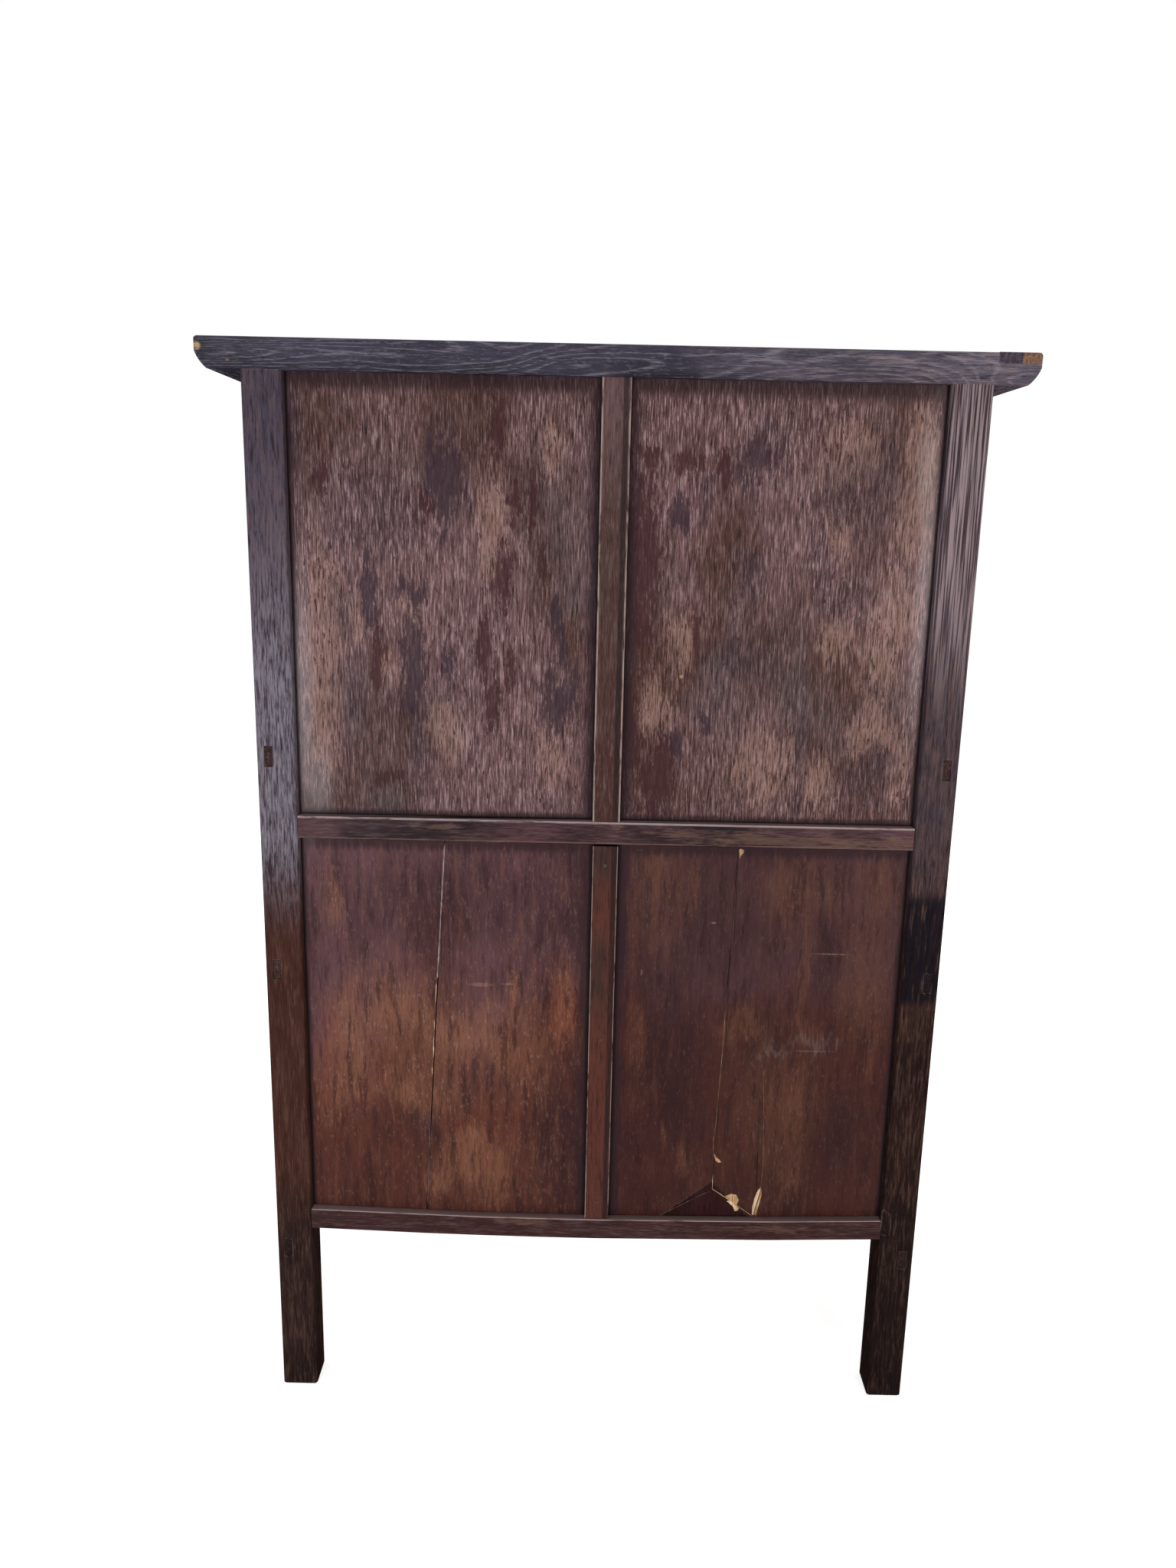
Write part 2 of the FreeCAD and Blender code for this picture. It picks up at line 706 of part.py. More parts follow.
def make_lower_back():
    """Lower panels: a cracked right one, and a left one split down to a broken corner piece."""
    y = ("back_panel_front", "back_panel_face")
    z = ("panel_foot", "panel_head")
    for side, sign in SIDES.items():
        holders = [f"post_back_{side}", "back_mid_rail", "back_bottom_rail"]
        box_seat(f"back_lower_{side}_groove", on_side(("0", "panel_edge"), sign), y, z, *holders)
    middle_edge = "centre_joint_gap / 2"
    near = [(middle_edge, z[0]), ("crack_foot", z[0]), ("crack_top", z[1]), (middle_edge, z[1])]
    far = [
        ("crack_foot + crack_gap", z[0]),
        ("panel_edge", z[0]),
        ("panel_edge", z[1]),
        ("crack_top + crack_gap", z[1]),
    ]
    boards = [prism("back_lower_right_near", "XZ", y, near), prism("back_lower_right_far", "XZ", y, far)]
    pieces["back_lower_panel_right"] = group("back_lower_right_boards", *boards)
    peak = "bottom_rail_top + break_height"
    near = [
        (f"-({middle_edge})", z[0]),
        (f"-({middle_edge})", z[1]),
        ("-split_top", z[1]),
        ("-split_foot", peak),
        ("-break_inner", z[0]),
    ]
    far = [
        ("-break_outer", z[0]),
        ("-split_foot - split_gap", peak),
        ("-split_top - split_gap", z[1]),
        ("-panel_edge", z[1]),
        ("-panel_edge", z[0]),
    ]
    boards = [prism("back_lower_left_near", "XZ", y, near), prism("back_lower_left_far", "XZ", y, far)]
    pieces["back_lower_panel_left"] = group("back_lower_left_boards", *boards)
    shake = [
        ("-shake_reach", z[0]),
        ("-shake_reach - shake_width", z[0]),
        ("-shake_reach + shake_lean", "bottom_rail_top + shake_height"),
    ]
    seat(prism("back_lower_left_shake", "XZ", grown(y), shake), "back_lower_panel_left")
    sunk = ("back_panel_front", "back_panel_face - break_sink")
    corner = [
        ("-break_inner - split_gap * 2", z[0]),
        ("-split_foot - split_gap / 2", f"{peak} - split_gap * 2"),
        ("-break_outer + split_gap * 2", z[0]),
    ]
    pieces["back_broken_corner"] = prism("back_broken_corner_board", "XZ", sunk, corner)


def make_batten():
    """Batten nailed over the middle joint of the lower back."""
    low = "bottom_rail_top - rail_sag + batten_lift"
    high = "mid_rail_level - batten_gap"
    outer = "back_panel_face + batten_thickness"
    y = ("back_panel_face", outer)
    pieces["back_lower_batten"] = block("back_batten_bar", both_ways("batten_width / 2"), y, (low, high))
    nails = []
    step = f"(({high}) - ({low}) - 2 * nail_inset) / {NAIL_COUNT - 1}"
    for number in range(NAIL_COUNT):
        z = f"({high}) - nail_inset - {number} * {step}"
        name = f"batten_nail_{number + 1}"
        tip = f"{outer} + nail_head_thickness"
        head_place = (TURN_TO_FRONT, "0", tip, z)
        head = forged_rod(f"{name}_head", "nail_head_radius", "nail_head_thickness", *head_place)
        shank_x = both_ways("nail_shank_width / 2")
        shank_y = (f"{tip} - nail_shank_length", outer)
        shank_z = about(z, "nail_shank_width")
        nails.append(fuse(name, head, block(f"{name}_shank", shank_x, shank_y, shank_z)))
        pierced = ["back_lower_batten", "back_lower_panel_left", "back_lower_panel_right"]
        box_seat(f"{name}_hole", shank_x, shank_y, shank_z, *pierced)
    pieces["batten_nails"] = group("batten_nails_set", *nails)


# Boards and runners inside


def post_notches(label):
    """Clear the four posts out of a board that fills the inside."""
    for side, sign in SIDES.items():
        x = grown(on_side(("post_inner", "half_width"), sign), "board_clearance")
        for end, span in (("front", ("front_face", "front_inner")), ("back", ("back_inner", "back_face"))):
            y = grown(span, "board_clearance")
            seat(block(f"{label}_{end}_{side}_notch", x, y, ("0", "post_height")), label)


def make_inner_boards():
    """Cupboard floor let into the rails, shelf on the side rails and display floor."""
    x = both_ways("side_panel_inner - board_clearance")
    back = "back_panel_front - board_clearance"
    floor_low = "bottom_rail_level + floor_lift"
    floor_z = (floor_low, f"{floor_low} + floor_thickness")
    floor_y = ("front_rail_back - floor_tongue", "back_rail_front + floor_tongue")
    shelf_y = ("door_back + shelf_setback", back)
    shelf_z = ("side_shelf_level + rail_height", "side_shelf_level + rail_height + floor_thickness")
    display_y = ("front_face + arch_recess + arch_thickness + board_clearance", back)
    display_z = ("display_rail_top", "display_rail_top + floor_thickness")
    pieces["cupboard_floor"] = block("cupboard_floor_board", x, floor_y, floor_z)
    pieces["cupboard_shelf"] = block("cupboard_shelf_board", x, shelf_y, shelf_z)
    pieces["display_floor"] = block("display_floor_board", x, display_y, display_z)
    groove_x = both_ways("post_inner")
    box_seat("cupboard_floor_groove", groove_x, floor_y, floor_z, "front_bottom_rail", "back_bottom_rail")
    for label in ("cupboard_floor", "cupboard_shelf", "display_floor"):
        post_notches(label)
    stile_x = grown(both_ways("stile_width / 2"), "board_clearance")
    stile_y = ("back_rail_front - board_clearance", "back_face")
    seat(block("display_floor_stile_notch", stile_x, stile_y, display_z), "display_floor")


def make_drawer_supports():
    """Divider between the drawers, and runners with guides from the front rail to the back one."""
    divider_x = both_ways("divider_width / 2")
    divider_y = ("front_rail_face", "front_rail_face + divider_thickness")
    divider_z = ("mid_rail_top", "display_rail_level")
    tenon_x = middle(divider_x, "divider_width / 2")
    tenon_y = middle(divider_y, "divider_thickness / 2")
    tenon_z = grown(divider_z, "divider_tenon")
    bar = block("drawer_divider_bar", divider_x, divider_y, divider_z)
    tenon = block("drawer_divider_tenon", tenon_x, tenon_y, tenon_z)
    pieces["drawer_divider"] = fuse("drawer_divider_solid", bar, tenon)
    box_seat("drawer_divider_mortise", tenon_x, tenon_y, tenon_z, "front_drawer_rail", "front_display_rail")
    span_y = ("front_rail_back", "back_rail_front")
    end_y = grown(span_y, "runner_tenon")
    plate_z = ("mid_rail_top - runner_thickness", "mid_rail_top")
    tongue_z = middle(plate_z, "runner_thickness / 2")
    guide_z = ("mid_rail_top", "mid_rail_top + guide_height")
    rails = ("front_drawer_rail", "back_mid_rail")
    middle_x = both_ways("divider_width / 2 + runner_width")
    middle_tongue = block("runner_middle_tongue", middle_x, end_y, tongue_z)
    middle_plate = block("runner_middle_plate", middle_x, span_y, plate_z)
    middle_guide = block("runner_middle_guide", divider_x, span_y, guide_z)
    box_seat("runner_middle_mortise", middle_x, end_y, tongue_z, *rails)
    runners = [fuse("runner_middle", middle_tongue, middle_plate, middle_guide)]
    for side, sign in SIDES.items():
        name = f"runner_{side}"
        near = on_side(("post_inner - runner_width", "post_inner - fit_clearance"), sign)
        wide = on_side(("post_inner - runner_width", "side_panel_inner"), sign)
        guide_x = on_side(("post_inner", "side_panel_inner"), sign)
        clear_y = inset(("front_inner", "back_inner"), "fit_clearance")
        parts = [
            block(f"{name}_tongue", near, end_y, tongue_z),
            block(f"{name}_plate", near, span_y, plate_z),
            block(f"{name}_wing", wide, clear_y, plate_z),
            block(f"{name}_guide", guide_x, clear_y, guide_z),
        ]
        box_seat(f"{name}_mortise", near, end_y, tongue_z, *rails)
        runners.append(fuse(name, *parts))
    pieces["drawer_runners"] = group("drawer_runners_set", *runners)


# Doors


def make_door(side, sign):
    """Frame-and-panel door whose hanging stile turns on a wooden pivot at each end."""
    name = f"door_{side}"
    y = ("door_face", "door_back")
    height = ("door_low", "door_high")
    hanging = f"{name}_hanging_stile"
    meeting = f"{name}_meeting_stile"
    half = "door_thickness / 2"
    inner = at_side("door_thickness / 2 - door_stile_width", sign)
    plan = [("0", f"-({half})", at_side(half, sign), "0"), ("0", half), (inner, half), (inner, f"-({half})")]
    stile = prism(f"{hanging}_bar", "XY", height, plan)
    axis_x = at_side("pivot_x", sign)
    bind(stile, "Placement.Base.x", axis_x)
    bind(stile, "Placement.Base.y", "pivot_y")
    pin_z = grown(height, "pivot_length")
    pin_length = f"{pin_z[1]} - ({pin_z[0]})"
    pin = rod(f"{hanging}_pin", "pivot_radius", pin_length, Rotation(), axis_x, "pivot_y", pin_z[0])
    pieces[hanging] = fuse(f"{hanging}_solid", stile, pin)
    hole_z = grown(pin_z, "pivot_end_gap")
    hole_length = f"{hole_z[1]} - ({hole_z[0]})"
    hole_radius = "pivot_radius + pivot_clearance"
    socket = rod(f"{hanging}_socket", hole_radius, hole_length, Rotation(), axis_x, "pivot_y", hole_z[0])
    seat(socket, "front_bottom_rail", "front_drawer_rail")
    meeting_x = on_side(("door_inner", "door_inner + door_stile_width"), sign)
    pieces[meeting] = block(f"{meeting}_bar", meeting_x, y, height)
    make_door_infill(name, sign, y, (hanging, meeting))


def make_door_infill(name, sign, y, stiles):
    """The two rails of a door, and its panel with a raised field in the grooves of the frame."""
    clear = ("door_inner + door_stile_width", "door_outer - door_stile_width")
    rail_x = on_side(clear, sign)
    tenon_x = grown(rail_x, "door_tenon_length")
    tenon_y = middle(y, "door_tenon_thickness")
    rails = []
    top_z = ("door_high - door_rail_width", "door_high")
    bottom_z = ("door_low", "door_low + door_rail_width")
    for place, z in (("top", top_z), ("bottom", bottom_z)):
        bar = block(f"{name}_{place}_rail_bar", rail_x, y, z)
        tenon_z = inset(z, "door_tenon_shoulder")
        tenon = block(f"{name}_{place}_rail_tenon", tenon_x, tenon_y, tenon_z)
        rails.append(fuse(f"{name}_{place}_rail", bar, tenon))
        box_seat(f"{name}_{place}_rail_mortise", tenon_x, tenon_y, tenon_z, *stiles)
    pieces[f"{name}_rails"] = group(f"{name}_rails_pair", *rails)
    opening_z = inset(("door_low", "door_high"), "door_rail_width")
    tongue_x = grown(rail_x, "groove_depth")
    tongue_z = grown(opening_z, "groove_depth")
    back = "door_face + door_panel_recess + door_panel_thickness"
    tongue_y = (f"{back} - door_tongue_thickness", back)
    tongue = block(f"{name}_panel_tongue", tongue_x, tongue_y, tongue_z)
    field_x = inset(rail_x, "door_field_margin")
    field_z = inset(opening_z, "door_field_margin")
    field = block(f"{name}_panel_field", field_x, ("door_face + door_panel_recess", back), field_z)
    pieces[f"{name}_panel"] = fuse(f"{name}_panel_solid", tongue, field)
    box_seat(f"{name}_panel_groove", tongue_x, tongue_y, tongue_z, *stiles, f"{name}_rails")


# Drawers


def make_drawer(side, sign):
    """Drawer front, a box of two sides and a back, and a bottom let into them."""
    name = f"drawer_{side}"
    x = on_side(("drawer_inner", "drawer_outer"), sign)
    front_y = ("door_face", "door_face + drawer_front_thickness")
    front_z = ("drawer_low", "display_rail_level - drawer_gap")
    pieces[f"{name}_front"] = block(f"{name}_front_board", x, front_y, front_z)
    low, high = x
    box_z = ("drawer_low", "display_rail_level - drawer_top_gap")
    side_y = (front_y[1], "drawer_back")
    thick = "drawer_side_thickness"
    inner_x = inset(x, thick)
    back_y = (f"drawer_back - {thick}", "drawer_back")
    walls = [
        block(f"{name}_low_side", (low, f"({low}) + {thick}"), side_y, box_z),
        block(f"{name}_high_side", (f"({high}) - {thick}", high), side_y, box_z),
        block(f"{name}_back", inner_x, back_y, box_z),
    ]
    pieces[f"{name}_box"] = group(f"{name}_box_walls", *walls)
    bottom_x = grown(inner_x, "drawer_bottom_groove")
    bottom_y = (f"{front_y[1]} - drawer_bottom_groove", f"drawer_back - {thick} + drawer_bottom_groove")
    bottom_low = "drawer_low + drawer_bottom_lift"
    bottom_z = (bottom_low, f"{bottom_low} + drawer_bottom_thickness")
    pieces[f"{name}_bottom"] = block(f"{name}_bottom_board", bottom_x, bottom_y, bottom_z)
    box_seat(f"{name}_bottom_groove", bottom_x, bottom_y, bottom_z, f"{name}_front", f"{name}_box")


# Display front and apron


def mirrored_outline(half_outline):
    """Close an outline that is drawn on the right side, from top to bottom centre, with its mirror."""
    left = []
    reverse = list(reversed(half_outline))
    for index, corner in enumerate(reverse):
        mirror = [f"-({corner[0]})", corner[1]]
        before = half_outline[len(half_outline) - 2 - index] if index < len(reverse) - 1 else ()
        if len(before) == 4:
            mirror += [f"-({before[2]})", before[3]]
        left.append(tuple(mirror))
    return half_outline + left


def make_arch():
    """Three boards round the open display front: a head with stepped, curved ends and two strips."""
    y = ("front_face + arch_recess", "front_face + arch_recess + arch_thickness")
    low = "post_height - arch_head_height"
    strip = "post_inner - arch_strip_width"
    curve_end = f"{strip} - arch_corner_radius"
    curve_high = f"{low} + arch_corner_radius"
    step_end = f"{curve_end} - arch_step_length"
    rise_end = f"{step_end} - arch_step_radius"
    rise_high = f"{curve_high} + arch_step_radius"
    corner_bow = (
        f"{strip} - arch_corner_radius * (1 - {ARC_MIDDLE})",
        f"{low} + arch_corner_radius * {ARC_MIDDLE}",
    )
    step_bow = (
        f"{step_end} - arch_step_radius * (1 - {ARC_MIDDLE})",
        f"{curve_high} + arch_step_radius * {ARC_MIDDLE}",
    )
    head = [
        ("post_inner", "post_height"),
        ("post_inner", low),
        (strip, low, *corner_bow),
        (curve_end, curve_high),
        (step_end, curve_high, *step_bow),
        (rise_end, rise_high),
    ]
    boards = [prism("arch_head", "XZ", y, mirrored_outline(head))]
    for side, sign in SIDES.items():
        strip_x = on_side((strip, "post_inner"), sign)
        boards.append(block(f"arch_strip_{side}", strip_x, y, ("display_rail_top", low)))
    pieces["display_arch"] = group("display_arch_boards", *boards)
    make_railing(y, strip)


def make_railing(y, strip):
    """Low railing across the display front: one bar on short posts."""
    top = "display_rail_top + railing_height"
    bar = block("railing_bar", both_ways(strip), y, (f"{top} - railing_bar_height", top))
    members = [bar]
    step = f"2 * ({strip}) / {RAILING_POSTS + 1}"
    for number in range(1, RAILING_POSTS + 1):
        x = about(f"{number} * {step} - ({strip})", "railing_post_width")
        post_y = middle(y, "railing_post_width")
        members.append(block(f"railing_post_{number}", x, post_y, ("display_rail_top", top)))
    pieces["display_railing"] = fuse("display_railing_solid", *members)


def make_apron():
    """Apron under the front bottom rail, with brackets down the posts and a small middle drop."""
    y = ("front_face + apron_recess", "front_face + apron_recess + apron_thickness")
    top = "bottom_rail_level"
    edge = f"{top} - apron_height"
    bracket = "post_inner - apron_bracket_width"
    curve_end = f"{bracket} - apron_curve_width"
    foot = f"{top} - apron_bracket_height"
    bow_x = f"{bracket} - apron_curve_width * (1 - {ARC_MIDDLE})"
    bow_z = f"{foot} + (apron_bracket_height - apron_height) * {ARC_MIDDLE}"
    drop = "apron_drop_width / 2"
    half = [
        ("post_inner", top),
        ("post_inner", foot),
        (bracket, foot, bow_x, bow_z),
        (curve_end, edge),
        (drop, edge, f"{drop} * {DROP_BOW_ACROSS}", f"{edge} - apron_drop * {DROP_BOW_DOWN}"),
        ("apron_drop_tip / 2", f"{edge} - apron_drop"),
    ]
    pieces["front_apron"] = prism("front_apron_board", "XZ", y, mirrored_outline(half))


# Brass pulls


def make_bail(name, x, axis_y, axis_z):
    """Flat forged bow that hangs from its pins, with the corners hammered off its leg ends."""
    inner = "bail_half_width - bail_bar_width / 2"
    outer = "bail_half_width + bail_bar_width / 2"
    inner_shoulder = "bail_half_width - bail_bar_width / 4"
    outer_shoulder = "bail_half_width + bail_bar_width / 4"
    tip = "bail_bar_width / 2"
    corners = [
        (outer, "0"),
        (outer_shoulder, tip),
        (inner_shoulder, tip),
        (inner, "0"),
        (inner, "-bail_leg", "0", f"-bail_leg - ({inner})"),
        (f"-({inner})", "-bail_leg"),
        (f"-({inner})", "0"),
        (f"-({inner_shoulder})", tip),
        (f"-({outer_shoulder})", tip),
        (f"-({outer})", "0"),
        (f"-({outer})", "-bail_leg", "0", f"-bail_leg - ({outer})"),
        (outer, "-bail_leg"),
    ]
    bow = prism(name, "XZ", about(axis_y, "bail_thickness"), corners)
    bind(bow, "Placement.Base.x", x)
    bind(bow, "Placement.Base.z", axis_z)
    return bow


def make_pull(name, x, z):
    """Lobed plate with two ears, and a bail whose pins turn in them."""
    plate_front = "door_face - plate_thickness"
    axis_y = f"{plate_front} - bail_standoff"
    axis_z = f"({z}) + bail_rise"
    reach = "plate_reach"
    cusp = "plate_cusp"
    lobes = [
        (cusp, cusp, "0", reach),
        (f"-{cusp}", cusp, f"-{reach}", "0"),
        (f"-{cusp}", f"-{cusp}", "0", f"-{reach}"),
        (cusp, f"-{cusp}", reach, "0"),
    ]
    plate = prism(f"{name}_sheet", "XZ", (plate_front, "door_face"), lobes)
    bind(plate, "Placement.Base.x", x)
    bind(plate, "Placement.Base.z", z)
    solids = [plate]
    bail = [make_bail(f"{name}_bow", x, axis_y, axis_z)]
    for side, sign in SIDES.items():
        ear_x = about(f"({x}) + {at_side('ear_centre', sign)}", "ear_width")
        ear_y = (f"{axis_y} - ear_lip", plate_front)
        solids.append(block(f"{name}_ear_{side}", ear_x, ear_y, about(axis_z, "ear_height")))
        leg_x = f"({x}) + {at_side('bail_half_width', sign)}"
        pin_x = leg_x if sign < 0 else f"{leg_x} - bail_pin_length"
        pin_place = (TURN_TO_RIGHT, pin_x, axis_y, axis_z)
        bail.append(forged_rod(f"{name}_pin_{side}", "bail_pin_radius", "bail_pin_length", *pin_place))
        hole_radius = "bail_pin_radius + bail_pin_clearance"
        seat(rod(f"{name}_hole_{side}", hole_radius, "bail_pin_length", *pin_place), f"{name}_plate")
    pieces[f"{name}_plate"] = fuse(f"{name}_plate_solid", *solids)
    pieces[f"{name}_bail"] = fuse(f"{name}_bail_solid", *bail)


# Finishing


def cut_seats():
    """Cut every noted seat from its piece and name the finished pieces."""
    finished = {}
    for label, solid in pieces.items():
        tools = seats.get(label, [])
        if tools:
            item = doc.addObject("Part::Cut", f"{label}_fitted")
            item.Base = solid
            item.Tool = fuse(f"{label}_seats", *tools)
            solid = item
        solid.Label = label
        finished[label] = solid
    return finished


def check_and_write(finished):
    """Refuse a failed object or a bad shape, then write one file for each piece."""
    for item in doc.Objects:
        if "Invalid" in item.State or "Error" in item.State:
            raise RuntimeError(f"{item.Name} failed: {item.State}")
    for label, item in finished.items():
        if item.Shape.isNull() or not item.Shape.isValid() or not item.Shape.Solids:
            raise RuntimeError(f"{label} has no valid shape")
    os.makedirs("parts", exist_ok=True)
    for label, item in finished.items():
        item.Shape.exportStep(f"parts/{label}.step")
    print(len(finished), "pieces written")


def main():
    fill_sheet()
    make_posts()
    make_cap()
    make_front_rails()
    make_back_rails()
    make_side_rails()
    make_side_panels()
    make_upper_back()
    make_lower_back()
    make_batten()
    make_inner_boards()
    make_drawer_supports()
    make_arch()
    make_apron()
    door_middle = "(door_low + door_high) / 2"
    drawer_middle = "(mid_rail_top + display_rail_level) / 2"
    for side, sign in SIDES.items():
        make_door(side, sign)
        make_pull(f"door_pull_{side}", at_side("door_inner + door_stile_width / 2", sign), door_middle)
        make_drawer(side, sign)
        make_pull(f"drawer_pull_{side}", at_side("(drawer_inner + drawer_outer) / 2", sign), drawer_middle)
    finished = cut_seats()
    doc.recompute()
    check_and_write(finished)


main()
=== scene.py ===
import math
import random

import bmesh
import bpy
from mathutils import Matrix, Vector


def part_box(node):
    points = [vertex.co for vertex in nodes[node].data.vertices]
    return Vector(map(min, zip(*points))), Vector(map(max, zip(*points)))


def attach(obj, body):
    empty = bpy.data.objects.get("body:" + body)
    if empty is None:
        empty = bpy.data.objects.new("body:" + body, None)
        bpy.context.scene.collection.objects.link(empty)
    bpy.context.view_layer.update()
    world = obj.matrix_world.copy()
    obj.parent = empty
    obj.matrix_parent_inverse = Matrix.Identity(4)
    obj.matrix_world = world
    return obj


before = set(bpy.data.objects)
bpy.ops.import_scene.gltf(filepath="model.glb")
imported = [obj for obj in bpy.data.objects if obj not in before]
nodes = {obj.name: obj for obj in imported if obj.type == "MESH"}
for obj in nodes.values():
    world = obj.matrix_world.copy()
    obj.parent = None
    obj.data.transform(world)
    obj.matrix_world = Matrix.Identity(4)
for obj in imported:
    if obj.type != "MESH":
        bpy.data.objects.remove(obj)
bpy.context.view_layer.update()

MM = 0.001
SIDES = ("left", "right")
LOW = 0
HIGH = 1

# Directions: X runs to the cabinet's right as its front is faced, Y to its back and Z up
TO_BACK = (0, 1, 0)
TO_LEFT = (-1, 0, 0)
TO_RIGHT = (1, 0, 0)
UP = (0, 0, 1)
DOWN = (0, 0, -1)


def node_end(name, end, letter):
    """Where a CAD node starts or ends along an axis, to a tenth of a millimetre."""
    return round(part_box(name)[end]["xyz".index(letter)] / MM, 1)


# Places and sizes on the cabinet in millimetres
BACK_PANEL_FACE = node_end("back_upper_panel_left", HIGH, "y")
BACK_POST_FACE = node_end("post_back_left", HIGH, "y")
STILE_SIDE = node_end("back_upper_stile", HIGH, "x")
POST_SIDE = node_end("post_back_right", LOW, "x")
MID_RAIL_FOOT = node_end("back_mid_rail", LOW, "z")
MID_RAIL_TOP = node_end("back_mid_rail", HIGH, "z")
CAP_FOOT = node_end("cap_back_member", LOW, "z")
RAILING_FOOT = 1140
RAILING_HEAD = 1180
ARCH_STRIP_TOP = 1587
MIDDLE_BLEND = 20
ARRIS_WIDTH = 1.6
WELD_DISTANCE = 0.02

# Angles that part flat faces from arrises
FLAT_ANGLE = math.radians(1)
ARRIS_ANGLE = math.radians(40)

# How far a surface is turned towards a direction, where a mark starts and where it is full
EDGE_TURN = (0.15, 0.5)
FACE_TURN = (0.5, 0.9)

# Camera, solved from the posts, rails and cap in the photograph
PHOTO_HEIGHT = 2048
CAMERA_PLACE = Vector((0.0297, 1.9696, 1.4526))
CAMERA_FOCAL_PIXELS = 1495.8
CAMERA_YAW = math.radians(-0.025)
CAMERA_PITCH = math.radians(12.70)
CAMERA_ROLL = math.radians(1.22)
SENSOR = 36.0

# Colours as seen, in 8-bit sRGB
COLOURS = {
    "warm_brown": (79, 53, 46),
    "olive_grey": (80, 64, 63),
    "mauve": (114, 84, 85),
    "tan": (150, 115, 102),
    "pore": (30, 18, 20),
    "pale_hair": (172, 142, 139),
    "burgundy": (60, 31, 33),
    "plum": (54, 40, 48),
    "red_brown": (86, 47, 38),
    "plum_brown": (94, 63, 66),
    "dark_maroon": (44, 24, 24),
    "aubergine": (44, 28, 33),
    "rust_tan": (138, 91, 67),
    "ember": (122, 66, 46),
    "dusty_rose": (146, 110, 97),
    "smoke": (112, 98, 94),
    # Soot also paints the shade in crevices, along splits and in a band on the stile
    "soot_and_shade": (20, 16, 17),
    "coal": (28, 26, 34),
    "slate": (58, 54, 67),
    "ash": (134, 127, 135),
    "mauve_grey": (94, 85, 97),
    "black_brown": (36, 27, 26),
    "umber": (56, 39, 34),
    "walnut": (74, 52, 46),
    "oak": (98, 74, 71),
    "grey_brown": (124, 106, 104),
    "pale_ridge": (164, 145, 146),
    # Arris paints worn edges together with their painted highlight
    "arris": (178, 154, 143),
    # Dust also paints highlights on the rails' faces turned up
    "dust_and_highlight": (146, 124, 120),
    "blue_black": (17, 19, 27),
    "olive_tan": (122, 92, 76),
    "raw": (206, 168, 122),
    "raw_shade": (146, 104, 68),
    "cream": (230, 206, 172),
    "orange_wood": (150, 110, 84),
    "bare_light": (150, 121, 95),
    "bare_dark": (96, 73, 57),
    "brass": (150, 119, 72),
    "brass_dull": (104, 82, 52),
    "brass_dark": (58, 45, 32),
    "rust": (92, 52, 34),
    "iron": (48, 44, 43),
}

# Noise fields of the wood: stretch along the grain, scale, detail, roughness
FIELDS = {
    "hair": (14, 620, 3.0, 0.66),
    "streak": (10, 210, 4.0, 0.65),
    "tooth": (6, 320, 4.0, 0.66),
    "fleck": (3, 300, 4.0, 0.7),
    "vein": (7, 75, 5.0, 0.66),
    "ragged": (3.5, 34, 5.0, 0.68),
    "broad": (2.4, 9, 6.0, 0.66),
    "tint": (2.0, 7.5, 4.0, 0.6),
    "tone": (1.6, 4.5, 4.0, 0.6),
    "speck": (1, 760, 2.0, 0.6),
}

# How far a ragged edge is pushed along the grain and across it, in metres
RAGGED_ALONG = 0.16
RAGGED_ACROSS = 0.05


def linear(name):
    """A named colour as linear RGBA."""
    channels = []
    for byte in COLOURS[name]:
        share = byte / 255
        channels.append(share / 12.92 if share <= 0.04045 else ((share + 0.055) / 1.055) ** 2.4)
    return (*channels, 1.0)


def grain_scale(axis, length):
    """Coordinate scale that draws a texture out along the grain."""
    return tuple(1 / length if letter == axis else 1.0 for letter in "xyz")


